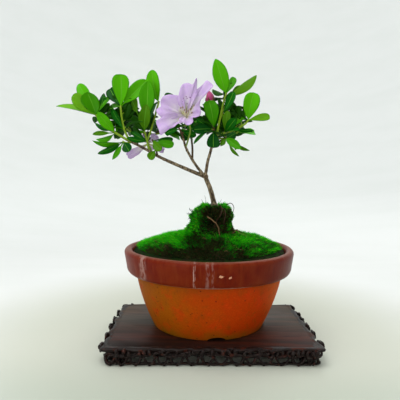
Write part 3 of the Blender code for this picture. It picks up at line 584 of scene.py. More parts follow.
def petal_finish():
    """Thin petals: the tint painted on their points, mottled and with fine veins."""
    finish = Finish("lilac_petal", 0.55, 0.2)
    veins = finish.noise(0.9, 3, (1, 1, 0.35))
    finish.colour(finish.layers(
        finish.node("VertexColor", layer_name="tint").outputs[0],
        (finish.noise(3.6, 4), 0.48, 0.68, 0.5, (0.73, 0.58, 0.83)),
        (veins, 0.5, 0.75, 0.22, (0.72, 0.54, 0.86))))
    finish.bump(veins, 0.4, 0.15)
    return finish.material


# The stand


STAND_LENGTH, STAND_DEPTH, STAND_HEIGHT = 142, 95, 12
STAND_CENTRE, STAND_TURN = Vector((1.3, -6.1, 0)), math.radians(2.5)
BOARD_LENGTH, BOARD_DEPTH, BOARD_SQUARENESS, SCALLOP = 145, 96, 20, 1.3
CORNER_CURL, CORNER_CURL_SPAN = 2.6, 0.05
# The board's edge from below to above: its height and how far it is set in
BOARD_EDGE = ((8.9, 2.4), (9.3, 0.9), (10.2, 0.1), (11.1, 0), (11.75, 0.5), (12, 1.5), (12, 2.6),
              (11.72, 3.3), (12, 4.1))
# How many rows of the edge are always carved, how many more at most, and a lobe's length
EDGE_ROWS_CARVED, EDGE_LOBE_ROWS, EDGE_LOBE = 4, 4, 6
OUTLINE_STEPS = 720


def on_stand(point):
    return Matrix.Rotation(STAND_TURN, 3, "Z") @ point + STAND_CENTRE


def stand_outline(inset, wavy):
    """A closed line round the board's freeform edge, set in by some millimetres."""
    line, power = [], BOARD_SQUARENESS
    half_x, half_y = (size / 2 - SCALLOP - inset for size in (BOARD_LENGTH, BOARD_DEPTH))
    for turn in around(OUTLINE_STEPS):
        c, s = abs(math.cos(turn)), abs(math.sin(turn))
        reach = ((c / half_x) ** power + (s / half_y) ** power) ** (-1 / power)
        wave = math.sin(21 * turn + 0.8) * 0.6 + math.sin(34 * turn) * 0.4
        off_corner = math.atan2(s, c) - math.atan2(half_y, half_x)
        curl = CORNER_CURL * math.exp(-(off_corner / CORNER_CURL_SPAN) ** 2)
        reach += wavy * (SCALLOP * wave + curl + 0.5 * noise.noise(level(turn, 14, 2)))
        line.append(level(turn, reach))
    return line


def edge_tones(rings):
    """0 for polished and 1 for carved faces: the carving runs onto the board in uneven lobes."""
    shares = [min(1, max(0, 0.5 + 1.6 * blob(p, EDGE_LOBE, 4))) for p in rings[0]]
    lobes = [EDGE_ROWS_CARVED + round(EDGE_LOBE_ROWS * share) for share in shares]
    return [1, *(int(row < lobe) for row in range(len(rings) - 1) for lobe in lobes), 0]


def make_board(settings):
    rings = [[on_stand(p + UP * height) for p in stand_outline(inset, max(0, 1 - inset / 4))]
             for height, inset in BOARD_EDGE]
    sculpt = Sculpt()
    sculpt.add(skin(rings), edge_tones(rings))
    board = sculpt.build("stand_top", [board_finish(settings), carving_finish(settings)])
    board.data.set_sharp_from_angle(angle=math.radians(50))
    hand_over(board, "rosewood", "stand_board")


ROOT_STEP, ROOT_SIDES, CARVING_SEED = 1.6, 7, 31
# How high the middle of a root and of a curl may rise
ROOT_CEILING, CURL_CEILING, CURL_STEPS = 11.7, 11.2, 8
# How much larger, higher and further out the curls are at the stand's sides
SIDE_CURL_SIZE, SIDE_CURL_LIFT, SIDE_CURL_REACH = 1.25, 0.6, 2.1
# The burr in a knob's middle: how far it is set in, its height and its size
KNOB_CORE, KNOB_LUMPS, KNOB_CURLS = (0.3, 9.2, 1.7), 5, 3
LOOP_INSET = 1.6
# The bow of a loop: shares of its span, and how high it is there
LOOP_BOW = ((0, 1), (0.1, 0.55), (0.26, 0.14), (0.5, 0), (0.74, 0.14), (0.9, 0.55), (1, 1))
FRIEZE_STEP, RAIL_STEP, BACKING_INSET, BACKING_HEIGHTS = 3, 14, 7, (7.6, 9.2)
# The lowest roots lie this many of their radii above the surface that the stand rests on
CLEARANCE = 1.15


class RootCarver:
    """Lays carved roots along the stand's edge line."""

    def __init__(self, radius):
        self.sculpt, self.radius, self.rng = Sculpt(), radius, random.Random(CARVING_SEED)
        fine = stand_outline(0, 0)
        whole = route_length([*fine, fine[0]])
        self.count = int(whole / ROOT_STEP)
        self.line = [point_along([*fine, fine[0]], whole * k / self.count) for k in range(self.count)]

    def spot(self, number, inset, height):
        """A point at one of the line's numbers or between two, set in from the edge and lifted."""
        whole = math.floor(number)
        here, ahead = self.line[whole % self.count], self.line[(whole + 1) % self.count]
        outwards = (ahead - here).cross(UP).normalized()
        return on_stand(here.lerp(ahead, number - whole) - outwards * inset + UP * height)

    def root(self, start, steps, inset, heights, girth, ends=0.35):
        """One root that wanders between two heights and tapers towards its ends."""
        seed = self.rng.uniform(0, 90)
        route, radii = [], []
        for k in range(steps):
            share = k / (steps - 1)
            wander = noise.noise(Vector((k * 0.21 + seed, seed, 0)))
            height = heights[0] + (heights[1] - heights[0]) * (0.5 + 0.9 * wander)
            inward = inset + 1.1 * noise.noise(Vector((seed, k * 0.27, 4)))
            radius = self.radius * girth * (ends + (1 - ends) * math.sin(math.pi * share) ** 0.6)
            radius *= 1 + 0.28 * noise.noise(Vector((k * 0.6, seed, 8)))
            height = max(height, radius * CLEARANCE)
            route.append(self.spot(start + k, inward, min(height, ROOT_CEILING - radius * 0.4)))
            radii.append(radius)
        self.sculpt.add(tube(route, radii, ROOT_SIDES))

    def at_side(self, number):
        """Whether one of the line's numbers is on the left or right side, or near a corner."""
        return abs(self.line[number % self.count].x) > STAND_LENGTH / 2 - 7

    def curl(self, number, girth):
        """A short root at the board's edge that curls outwards and back under itself."""
        rng, outwards = self.rng, SIDE_CURL_REACH if self.at_side(number) else 0
        size, start = rng.uniform(1.2, 2) * girth, rng.uniform(0, math.tau)
        height, slant = rng.uniform(7.6, 10), rng.uniform(-0.7, 0.7)
        if outwards:
            size, height = size * SIDE_CURL_SIZE, height + SIDE_CURL_LIFT
        ahead = (self.spot(number + 1, 0, 0) - self.spot(number, 0, 0)).normalized()
        route, radii = [], []
        for k in range(CURL_STEPS + 1):
            turn = start + 0.62 * k
            inset = 0.3 - outwards - 0.9 * math.sin(turn * 0.5 + slant)
            spot = self.spot(number, inset, height + math.sin(turn) * size * 0.8)
            spot += ahead * (math.cos(turn) * size)
            spot.z = min(spot.z, CURL_CEILING)
            route.append(spot)
            radii.append(self.radius * girth * (0.6 + 0.4 * math.sin(math.pi * k / CURL_STEPS)))
        self.sculpt.add(tube(route, radii, ROOT_SIDES))

    def lump(self, number, inset, height, size):
        """A burr on the board's edge, longer than wide and tilted at random."""
        rng = self.rng
        along = Vector((rng.gauss(0, 0.5), rng.gauss(0, 0.5), 1)).normalized()
        spot = self.spot(number, inset, height)
        spot.z = min(spot.z, STAND_HEIGHT + 0.1 - size * 1.1)
        self.sculpt.add(bead(spot, (size, size * rng.uniform(1.1, 1.5)), 6, 8, along))

    def knob(self, number):
        """A knot of burrs and curls that stands out from the board's side."""
        self.lump(number, *KNOB_CORE)
        for _ in range(KNOB_LUMPS):
            self.lump(number + self.rng.uniform(-1.3, 1.3), -self.rng.uniform(0.4, 2.5),
                      self.rng.uniform(7.8, 10.4), self.rng.uniform(1, 1.6))
        for _ in range(KNOB_CURLS):
            self.curl(number + self.rng.randint(-1, 1), self.rng.uniform(0.9, 1.3))

    def loop(self, number, span, inset, top, low, girth):
        """A root that hangs from the frieze to the bottom rail in a bow, with a bead at its foot."""
        rng = self.rng
        route = [self.spot(number + span * share, inset + rng.uniform(-0.4, 0.4), low + (top - low) * rise)
                 for share, rise in LOOP_BOW]
        route = smooth_route(route, 2)
        radii = [self.radius * girth * rng.uniform(0.85, 1.15) for _ in route]
        self.sculpt.add(tube(route, radii, ROOT_SIDES))
        foot = self.spot(number + span * rng.uniform(0.35, 0.65), inset - 0.3, low)
        self.sculpt.add(bead(foot, (min(low, self.radius * girth * 1.4),) * 2))

    def edge(self):
        """Curls and burrs along the board's front and back, and knobs at its sides."""
        rng, number = self.rng, 0
        while number < self.count:
            if self.at_side(number):
                self.knob(number)
                number += rng.randint(9, 11)
            else:
                self.curl(number, rng.uniform(0.9, 1.4))
                self.lump(number + 1, rng.uniform(-0.6, 0.6), rng.uniform(8.4, 10.4), rng.uniform(0.9, 1.6))
                number += rng.randint(2, 4)

    def frieze(self):
        """Roots that cross each other below the board."""
        rng = self.rng
        for number in range(0, self.count, FRIEZE_STEP):
            self.root(number + rng.randint(-1, 1), rng.randint(7, 16), rng.uniform(0.4, 3.6), (6.2, 8.8),
                      rng.uniform(0.9, 1.4))

    def rail(self):
        """Long roots just above the surface that the stand rests on."""
        rng = self.rng
        for number in range(0, self.count, RAIL_STEP):
            self.root(number, RAIL_STEP + 5, 2.2 + rng.uniform(-0.7, 0.7), (0.9, 1.7),
                      rng.uniform(0.9, 1.15), 0.8)

    def loops(self):
        """The open loops between the frieze and the bottom rail."""
        rng, number = self.rng, 0
        while number < self.count:
            span = rng.uniform(4.2, 6.4)
            top, low, girth = rng.uniform(6, 7.2), rng.uniform(1.1, 1.4), rng.uniform(0.75, 1.1)
            self.loop(number, span, LOOP_INSET, top, low, girth)
            number += span + rng.uniform(0.2, 1.2)

    def backing(self):
        """The plain slab behind the frieze that ties the roots together."""
        line = [self.spot(k, BACKING_INSET, 0) for k in range(self.count)]
        self.sculpt.add(skin([[p + UP * z for p in line] for z in BACKING_HEIGHTS]))


def make_carving(settings):
    """The tangle of carved roots round the stand, its edge curls, bottom rail and feet."""
    carver = RootCarver(settings.root_radius / MM)
    for step in (carver.edge, carver.frieze, carver.rail, carver.loops, carver.backing):
        step()
    add_feet(carver.sculpt, carver.rng)
    carving = carver.sculpt.build("stand_carving", [carving_finish(settings)])
    nodes = [f"stand_foot_{k}" for k in range(1, 5)]
    nodes += [f"stand_side_{side}" for side in ("front", "back", "left", "right")]
    hand_over(carving, "rosewood", *nodes)


FOOT_INSET, FOOT_RADIUS, FOOT_ROOTS = 9.5, 6, 16


def add_feet(sculpt, rng):
    """Four knots of roots at the corners, flat underneath."""
    x, y = STAND_LENGTH / 2 - FOOT_INSET, STAND_DEPTH / 2 - FOOT_INSET
    for corner in ((-x, -y), (x, -y), (x, y), (-x, y)):
        centre = Vector((*corner, 0))
        outwards = Vector((math.copysign(1, corner[0]), math.copysign(1, corner[1]), 0))
        for _ in range(FOOT_ROOTS):
            turn = rng.uniform(0, math.tau)
            top = centre + level(turn) * rng.uniform(1.5, FOOT_RADIUS)
            toe = centre + outwards * rng.uniform(0.2, 1.3)
            toe += level(turn + 0.7) * rng.uniform(1.5, FOOT_RADIUS)
            girth = rng.uniform(0.9, 1.5)
            bends = (toe + UP * (girth * CLEARANCE), toe.lerp(top, 0.5) * 0.985 + UP * 4.2, top + UP * 9)
            route = smooth_route([on_stand(p) for p in bends], 4)
            radii = [girth * (1.1 - 0.25 * math.sin(math.pi * k / 8)) for k in range(9)]
            sculpt.add(tube(route, radii, ROOT_SIDES))


# The pot


POT_BASE, POT_FLOOR, RIM_BOTTOM, RIM_TOP = 12.3, 17.5, 52, 68.8
POT_FOOT_RADIUS, POT_WAIST_RADIUS, MOUTH_RADIUS = 41.2, 54.4, 56.4
RIM_LOW_RADIUS, RIM_TOP_RADIUS = 60, 62.5
# The rim's side from its lip down: how far it is outside its lowest part and above its bottom
RIM_SIDE = ((1.8, 9), (1.3, 6), (0.9, 3), (0.5, 1.8), (0, 1), (-0.5, 0.4), (-1.2, 0))
NOTCH_ANGLES, NOTCH_HALF_WIDTH, NOTCH_HEIGHT = (-82, 38, 158), 6.4, 2.7
POT_WALL, FOOT_RING_WIDTH, FOOT_RING_HEIGHT, DRAIN_RADIUS = 4.5, 5, 3, 7
POT_SIDES, LIP_STEPS, BODY_STEPS, NOTCH_STEPS = 160, 12, 16, 12


def rim_profile():
    """The glazed rim, over its rounded lip and down the outside: radii and heights."""
    lip = (RIM_TOP_RADIUS - MOUTH_RADIUS) / 2
    centre = (MOUTH_RADIUS + lip, RIM_TOP - lip)
    turns = [math.pi * (1 - k / LIP_STEPS) for k in range(LIP_STEPS + 1)]
    over = [(centre[0] + lip * math.cos(t), centre[1] + lip * math.sin(t)) for t in turns]
    side = [(RIM_LOW_RADIUS + out, RIM_BOTTOM + up) for out, up in RIM_SIDE]
    return [*over, *side, (POT_WAIST_RADIUS + 0.6, RIM_BOTTOM)]


def body_radius(height):
    """The wall's outer radius: a smooth curve through the solid's waist, belly and foot."""
    known = ((RIM_BOTTOM, POT_WAIST_RADIUS), ((RIM_BOTTOM + POT_BASE) / 2, POT_WAIST_RADIUS - 5.2),
             (POT_BASE + 1, POT_FOOT_RADIUS))
    total = 0
    for z, radius in known:
        for other, _ in known:
            radius *= (height - other) / (z - other) if other != z else 1
        total += radius
    return total


def body_profile():
    """The clay wall from under the rim to the foot: radii and heights."""
    top, bottom = RIM_BOTTOM - 0.3, POT_BASE + 1
    heights = [top + (bottom - top) * k / BODY_STEPS for k in range(BODY_STEPS + 1)]
    wall = [(body_radius(z), z) for z in heights]
    return [*wall, (POT_FOOT_RADIUS - 0.3, POT_BASE + 0.3), (POT_FOOT_RADIUS - 1, POT_BASE)]


def inner_profile():
    """Under the foot, through the drain hole and up inside to where the rim starts."""
    ring = POT_FOOT_RADIUS - FOOT_RING_WIDTH
    return [(ring, POT_BASE), (ring - 1, POT_BASE + FOOT_RING_HEIGHT),
            (DRAIN_RADIUS, POT_BASE + FOOT_RING_HEIGHT), (DRAIN_RADIUS, POT_FLOOR),
            (POT_FOOT_RADIUS - POT_WALL, POT_FLOOR), (POT_WAIST_RADIUS - POT_WALL, RIM_BOTTOM - 2),
            (MOUTH_RADIUS - 2.5, RIM_BOTTOM + 4), (MOUTH_RADIUS - 0.4, RIM_TOP - 5.5)]


def pot_rings(profile, wobble):
    rings = []
    for radius, height in profile:
        strays = [noise.noise(level(t, 1.4, height / 30)) * wobble * 2 for t in around(POT_SIDES)]
        rings.append([level(t, radius + stray, height + stray * 0.4)
                      for t, stray in zip(around(POT_SIDES), strays)])
    return rings


def make_pot(settings):
    rim = rim_profile()
    rings = pot_rings([*rim, *body_profile(), *inner_profile()], settings.wobble / MM)
    points, faces = skin([*rings, rings[0]], ends=False)
    last = len(rings) * POT_SIDES
    faces = [tuple(i % last for i in reversed(face)) for face in faces]
    glazed, inner = (len(rim) - 1) * POT_SIDES, (len(rings) - 2) * POT_SIDES
    sculpt = Sculpt()
    sculpt.add((points[:last], faces), [int(glazed <= k < inner) for k in range(len(faces))])
    pot = sculpt.build("pot_finished", [glaze_finish(settings), clay_finish(settings)])
    for angle in NOTCH_ANGLES:
        cut_notch(pot, math.radians(angle))
    pot.data.set_sharp_from_angle(angle=math.radians(45))
    hand_over(pot, "glazed_clay", "pot")


def cut_notch(pot, turn):
    """Cuts one low arch through the foot ring."""
    outwards = level(turn)
    across = Vector((-outwards.y, outwards.x, 0))
    arch = [(math.cos(t) * NOTCH_HALF_WIDTH, math.sin(t) * NOTCH_HEIGHT - 0.2)
            for t in (math.pi * k / NOTCH_STEPS for k in range(NOTCH_STEPS + 1))]
    arch += [(-NOTCH_HALF_WIDTH, -3), (NOTCH_HALF_WIDTH, -3)]
    rings = [[outwards * reach + across * x + UP * (POT_BASE + z) for x, z in arch]
             for reach in (POT_FOOT_RADIUS - 10, POT_FOOT_RADIUS + 5)]
    sculpt = Sculpt()
    sculpt.add(skin(rings))
    cutter = sculpt.build("notch_cutter", [pot.data.materials[1]])
    cut = pot.modifiers.new("notch", "BOOLEAN")
    cut.operation, cut.object, cut.solver = "DIFFERENCE", cutter, "EXACT"
    bake(pot)
    bpy.data.objects.remove(cutter, do_unlink=True)


# Moss, roots and what lies on them


SOIL_TOP, MOSS_EDGE, MOSS_PEAK = 65.4, 67.2, 78.6
MOUND_FLAT_RADIUS, MOUND_RADIUS = 15, 55.5
GAP, HUMMOCK_TOP, HUMMOCK_X = 0.3, 99, (0.4, 3.7)
HUMMOCK_RADII = ((0, 17), (0.16, 16.2), (0.42, 13.4), (0.62, 14.4), (0.82, 12), (1, 7.5))
HUMMOCK_DRAW = random.Random(11)
HUMMOCK_PHASES = [HUMMOCK_DRAW.uniform(0, math.tau) for _ in range(3)]
MOUND_SIDES, MOUND_ROWS, HUMMOCK_SIDES, HUMMOCK_ROWS = 144, 34, 96, 36
# Where the moss is thin and painted dark as shade, mostly along the front by the rim and on the root base's
# front: each patch's centre, reach and strength
SHADED_MOSS_PATCHES = (((-10, -52, 67), 40, 1.4), ((-44, -34, 67), 26, 1), ((3.5, -13, 92), 14, 0.85),
                ((30, -48, 67), 26, 0.9), ((42, -14, 70), 32, 0.55), ((-4, -24, 78), 17, 0.5))


def mound_point(radius, turn):
    """A point of the moss cushion, its lumps included."""
    share = max(0, (radius - MOUND_FLAT_RADIUS) / (MOUND_RADIUS - MOUND_FLAT_RADIUS))
    height = MOSS_EDGE + (MOSS_PEAK - MOSS_EDGE) * (1 - share ** 1.5)
    below = level(turn, radius)
    lump = 1.3 * blob(below, 15, 3) + 0.7 * blob(below, 5, 7)
    return below + UP * (height + lump * (1 - 0.5 * share) - 0.2)


def hummock_radius(share):
    start, end, t = between(HUMMOCK_RADII, share)
    return start + (end - start) * t * t * (3 - 2 * t)


def hummock_point(share, turn):
    """A point of the mossed root base, its lumps included."""
    low, (foot_x, top_x) = MOSS_PEAK + GAP, HUMMOCK_X
    centre = Vector((foot_x + (top_x - foot_x) * share, 0, low + (HUMMOCK_TOP - low) * share))
    big = 1 + 0.045 * math.sin(3 * turn + HUMMOCK_PHASES[0] + 3 * share)
    big += 0.035 * math.sin(5 * turn + HUMMOCK_PHASES[1]) + 0.02 * math.sin(8 * turn + HUMMOCK_PHASES[2])
    point = centre + level(turn) * hummock_radius(share) * big
    lump = 1.2 * blob(point, 8, 1) + 1.1 * blob(point, 3.2, 5)
    return point + (point - centre).normalized() * lump


def make_ground(settings):
    """The felt surface of the cushion and of the root base, under their tufts."""
    sculpt, turns = Sculpt(), around(MOUND_SIDES)
    edge = [mound_point(MOUND_RADIUS, t) for t in turns]
    rings = [[Vector((p.x, p.y, SOIL_TOP + 0.3)) for p in edge]]
    rings += [[mound_point(MOUND_RADIUS * row / MOUND_ROWS, t) for t in turns]
              for row in range(MOUND_ROWS, 1, -1)]
    sculpt.add(skin(rings))
    sculpt.add(skin([[hummock_point(row / HUMMOCK_ROWS, t) for t in around(HUMMOCK_SIDES)]
                     for row in range(HUMMOCK_ROWS + 1)]))
    ground = sculpt.build("moss_felt", [ground_finish(settings)])
    hand_over(ground, "moss", "moss_mound", "moss_hummock")


def moss_tone(point, rng):
    """0 for bright, 1 for middle and 2 for dark moss, by where the tuft grows: at random, darker on the root
    base, and dark as painted shade by the rim and in the shaded patches.
    """
    shade = 0.5 * blob(point, 12, 9) + 0.45 * blob(point, 4, 2) + rng.uniform(-0.45, 0.45)
    shade += 0.24 if point.z > MOSS_PEAK + 1 else -0.12
    # Painted shade: the moss turns dark in the shaded patches.
    for centre, reach, strength in SHADED_MOSS_PATCHES:
        shade += strength * max(0, 1 - (point - Vector(centre)).length / reach)
    # Painted shade: darker where the cushion meets the pot's rim.
    shade += 0.35 if point.z < MOSS_EDGE + 1.2 else 0
    return 0 if shade < -0.06 else 1 if shade < 0.3 else 2


def combed(point):
    """The way in which the moss lies: down from the root base, in swirls."""
    turn = math.atan2(point.y, point.x - HUMMOCK_X[1])
    turn = turn + 1.3 * blob(point, 17, 5) + 0.5 * blob(point, 6, 8)
    return level(turn, 1, -0.15)


def blade_of_moss(foot, tip, width, side):
    """A bent blade of two faces that narrows to its tip."""
    middle = foot.lerp(tip, 0.5) + side * width * 0.2 + UP * ((tip - foot).length * 0.12)
    return ([foot - side * width, foot + side * width, middle + side * width * 0.7,
             middle - side * width * 0.7, tip], [(0, 1, 2, 3), (3, 2, 4)])


BROWN, LIME = 3, 4
# For bright, middle and dark moss: how long its blades are, and the chances below and above which
# one of them is brown or lime
TONE_LENGTHS, BROWN_BELOW, LIME_ABOVE = (1.15, 0.95, 0.75), (0.02, 0.05, 0.5), (0.88, 0.98, 1)
BLADES_PER_TUFT, MOSS_MARGIN, ROOT_MOSS_LENGTH = 3, 4.2, 0.62


def add_tuft(sculpt, foot, normal, combing, length, girth, rng):
    """A few blades of moss from one spot, in one tone but for some brown or lime ones."""
    tone = moss_tone(foot, rng)
    lie = combed(foot) * combing
    for _ in range(BLADES_PER_TUFT):
        lean = Vector((rng.gauss(0, 0.32), rng.gauss(0, 0.32), rng.gauss(0, 0.2)))
        reach = length * rng.uniform(0.5, 1.35) * TONE_LENGTHS[tone]
        tip = foot + (normal * 0.8 + lie + lean).normalized() * reach
        side = (tip - foot).cross(Vector((rng.uniform(-1, 1), rng.uniform(-1, 1), 0.3))).normalized()
        chance = rng.random()
        shown = BROWN if chance < BROWN_BELOW[tone] else LIME if chance > LIME_ABOVE[tone] else tone
        sculpt.add(blade_of_moss(foot - normal * 0.4, tip, girth * rng.uniform(0.11, 0.2), side), shown)


def cushion_spot(rng, length):
    """Where one of the cushion's tufts grows, which way and how long it is."""
    turn, spread = rng.uniform(0, math.tau), rng.uniform(0.05, 1) ** 0.5 * (MOUND_RADIUS - MOSS_MARGIN)
    foot = mound_point(spread, turn)
    return foot, Vector((foot.x / 90, foot.y / 90, 1)).normalized(), length


def hummock_spot(rng, length):
    """Where one of the root base's tufts grows, which way and how long it is."""
    turn, share = rng.uniform(0, math.tau), rng.random() ** 0.85
    normal = level(turn, 1, 0.2 + share * share).normalized()
    return hummock_point(share, turn), normal, length * (ROOT_MOSS_LENGTH + 0.45 * share ** 3)


def make_tufts(settings):
    """The moss itself: one piece on the cushion and one on the root base."""
    looks = [plain_finish(f"moss_{name}", colour, 0.8, 0.15, 0.1, 0.5) for name, colour in (
        ("bright", settings.bright), ("middle", settings.middle), ("dark", settings.dark),
        ("brown", (0.25, 0.19, 0.09)), ("lime", settings.lime))]
    for name, seed, count, spot, combing, girth in (
            ("moss_tufts", 23, settings.tufts, cushion_spot, 0.85, 1),
            ("moss_on_roots", 24, settings.tufts // 3, hummock_spot, 0.25, 1.6)):
        rng, sculpt = random.Random(seed), Sculpt()
        for _ in range(count):
            foot, normal, length = spot(rng, settings.blade / MM)
            add_tuft(sculpt, foot, normal, combing, length, girth, rng)
        hand_over(sculpt.build(name, looks), "moss")


# Roots and dead stalks on the moss: bends, radius and whether they are pale
Stray = namedtuple("Stray", "bends radius pale")
STRAYS = (
    Stray(((-1.5, -13.6, 92.6), (-0.3, -15.2, 91.8), (3.2, -15.8, 89.3), (6.1, -15.8, 85.9),
           (7, -16.6, 81.9), (7.6, -19, 78.4)), 0.52, 1),
    Stray(((8, -8, 100), (8.7, -11.5, 97.5), (7.9, -14.2, 93.8), (5.2, -15, 89.4),
           (3.4, -15.8, 84.8)), 0.55, 0),
    Stray(((5, -5.5, 99.4), (10.6, -10.5, 97.4), (11.4, -12.6, 93), (10.2, -13.8, 87.2)), 0.6, 0),
    Stray(((9, -3, 98.4), (12, -4, 100.2), (15.2, -4.4, 101.9), (17.4, -4.2, 100.2),
           (18, -4, 97.1), (16.4, -4, 93.3), (13.6, -3.6, 91)), 0.34, 0),
    Stray(((-3.6, -4, 107), (-2.9, -4.2, 103.4), (-1.8, -4.2, 97.8)), 0.13, 0),
    Stray(((-6, -3, 104), (-4.4, -3.6, 101.2), (-3, -3.8, 97.6)), 0.13, 0),
    Stray(((8.6, -2, 104.2), (7.6, -2.6, 101), (6.6, -3, 97.4)), 0.12, 0),
    Stray(((15.4, -8, 80.6), (18.4, -8.6, 82.4), (22.6, -9, 81.2), (29.2, -9.4, 79)), 0.45, 0),
    Stray(((17, -11, 80.2), (20, -12, 83.2), (21.6, -12.6, 81), (25.6, -13, 79.2)), 0.3, 1),
    Stray(((12, 6, 92), (10.6, 13, 88), (9, 17.4, 82), (10, 24, 77.6)), 0.6, 0),
    Stray(((-6, 9, 95), (-9, 13.8, 89), (-9.6, 17, 82), (-14, 22, 77.4)), 0.55, 1),
)
# Small leafy sprigs of moss on the root base: foot and tip
SPRIGS = (((-11.5, -6, 92.4), (-16.2, -6.4, 93.8)), ((-11, -6, 91.6), (-15.2, -6.6, 90)),
          ((-11.5, -5, 94), (-14.6, -5, 96.6)), ((11, -7, 88), (15.6, -7.6, 88.4)),
          ((10.5, 3, 94), (15, 4, 95.4)), ((-8, 8, 92), (-12, 12, 94)))
STALKS, STALK_RADIUS, SPRIG, SPRIG_LEAVES = 46, 0.16, 2, 9


def add_stalk(sculpt, rng):
    """A short dead stalk that lies in the cushion's moss."""
    turn, spread = rng.uniform(0, math.tau), rng.uniform(17, 52)
    foot = mound_point(spread, turn) + UP * 0.9
    tip = mound_point(spread + rng.uniform(-3, 3), turn + rng.uniform(-0.14, 0.14)) + UP * 1.8
    middle = foot.lerp(tip, 0.5) + UP * rng.uniform(0.2, 1.2)
    sculpt.add(tube(smooth_route((foot, middle, tip), 3), [STALK_RADIUS] * 7, 5), rng.randint(0, 1))


def add_sprig(sculpt, foot, tip, rng):
    """A stem of a leafy moss with its small leaves."""
    sculpt.add(tube([foot, tip], [0.3, 0.15], 5), SPRIG)
    for k in range(SPRIG_LEAVES):
        node = foot.lerp(tip, 0.25 + 0.09 * k)
        out = Vector((rng.uniform(-1, 1), rng.uniform(-1, 1), rng.uniform(-1, 1))).normalized()
        end = node + ((tip - foot).normalized() + out).normalized() * 2.1
        sculpt.add(blade_of_moss(node, end, 0.3, side_of((end - node).normalized())), SPRIG)


def make_strays():
    """Loose roots, dead stalks and a few leafy sprigs on the moss."""
    sculpt, rng = Sculpt(), random.Random(5)
    for stray in STRAYS:
        route = smooth_route(stray.bends, 5)
        route = [p + Vector([0.35 * blob(p, 2.5, s) for s in (1, 2, 3)]) for p in route]
        sculpt.add(tube(route, tapered(route, stray.radius, stray.radius * 0.45), 7), stray.pale)
    for _ in range(STALKS):
        add_stalk(sculpt, rng)
    for foot, tip in SPRIGS:
        add_sprig(sculpt, Vector(foot), Vector(tip), rng)
    looks = [plain_finish("root_dark", (0.22, 0.14, 0.09), 0.8, 0.2, 0.15),
             plain_finish("root_pale", (0.45, 0.34, 0.22), 0.75, 0.25, 0.12),
             plain_finish("sprig_green", (0.10, 0.26, 0.06), 0.7, 0.2)]
    hand_over(sculpt.build("roots_and_stalks", looks), "bark")


# Trunk and boughs


HUMMOCK_SEAT = 99.3
TRUNK_ROUTE = ((3.9, 0, 97.6), (3.7, 0, HUMMOCK_SEAT), (2.2, 0, 105.5), (0.4, 0, 111.8),
               (-1.6, 0, 116.8), (-3.4, 0, 120.8))
FORK = Vector(TRUNK_ROUTE[-1])
TRUNK_FOOT_RADIUS, TRUNK_RADIUS, TRUNK_TOP_RADIUS = 2.9, 2, 1.6
Limb = namedtuple("Limb", "bends start_radius end_radius")
LIMBS = {
    "bough_left": Limb(((-21, -2, 128.1), (-36.5, -4.5, 134.8), (-48.5, -6.5, 141.4),
                        (-61.2, -8, 147.4)), 1.3, 0.85),
    "bough_middle": Limb(((-9.4, -0.8, 128), (-13.6, -1.8, 134.2), (-17.6, -3, 141.5),
                          (-20, -4, 149.2)), 1.05, 0.8),
    "bough_right": Limb(((-1.8, -0.3, 131.8), (0.4, -0.6, 140), (1.9, -0.8, 147),
                         (2.3, -1, 153)), 1.1, 0.9),
}
# The share of the trunk's height over which its foot is flared
FLARE_SHARE = 0.16
BARK_VOXEL, FORK_BULGE, LIMB_KNOTS = 0.24, 2, 5


def limb_route(name):
    return smooth_route((FORK, *LIMBS[name].bends), 6)


def trunk_radius(height):
    """The trunk's radius: flared at its foot and tapering to the fork."""
    share = max(0, (height - HUMMOCK_SEAT) / (FORK.z - HUMMOCK_SEAT))
    flare = max(0, 1 - share / FLARE_SHARE) ** 2
    return (TRUNK_RADIUS + (TRUNK_TOP_RADIUS - TRUNK_RADIUS) * share
            + (TRUNK_FOOT_RADIUS - TRUNK_RADIUS) * flare)


def make_limbs():
    """Trunk and boughs as one skin, grown together at the fork, with the bark's relief."""
    sculpt, route = Sculpt(), smooth_route(TRUNK_ROUTE, 5)
    sculpt.add(tube(route, [trunk_radius(point.z) for point in route], 20))
    sculpt.add(bead(FORK + Vector((0.3, 0, 0.3)), (FORK_BULGE, FORK_BULGE * 1.15), 10, 16))
    for name, limb in LIMBS.items():
        path, rng = limb_route(name), random.Random(name)
        sculpt.add(tube(path, tapered(path, limb.start_radius * 1.12, limb.end_radius), 16))
        for k in range(LIMB_KNOTS):
            node = point_along(path, route_length(path) * (0.2 + 0.16 * k + rng.uniform(-0.04, 0.04)))
            sculpt.add(bead(node, (limb.end_radius * rng.uniform(1.3, 1.55),) * 2, 8, 12))
    bulk = sculpt.build("limbs", [bark_finish()])
    remesh = bulk.modifiers.new("skin", "REMESH")
    remesh.mode, remesh.voxel_size = "VOXEL", BARK_VOXEL * MM
    smooth = bulk.modifiers.new("smooth", "SMOOTH")
    smooth.factor, smooth.iterations = 0.5, 3
    bake(bulk)
    carve_bark(bulk.data)
    hand_over(bulk, "bark", "trunk", *LIMBS)


def carve_bark(mesh):
    """Moves each point of the bark in or out by furrows that run up the limb."""
    normals = [v.normal.copy() for v in mesh.vertices]
    for vertex, normal in zip(mesh.vertices, normals):
        at = vertex.co / MM
        furrow = Vector((at.x / 0.8, at.y / 0.8, at.z / 2.4))
        depth = 0.11 * noise.noise(furrow) + 0.09 * noise.noise(at / 0.55) + 0.12 * noise.noise(at / 2.6)
        vertex.co += normal * depth * MM
    mesh.polygons.foreach_set("use_smooth", [True] * len(mesh.polygons))
    mesh.update()


# Foliage


# Leaf tones: bright is a young leaf in painted light, dark and deep are painted shade for leaves inside and
# under the crown.
BRIGHT, FRESH, MIDDLE, OLIVE, DARK, DEEP_SHADE, RIB, UNDER = range(8)
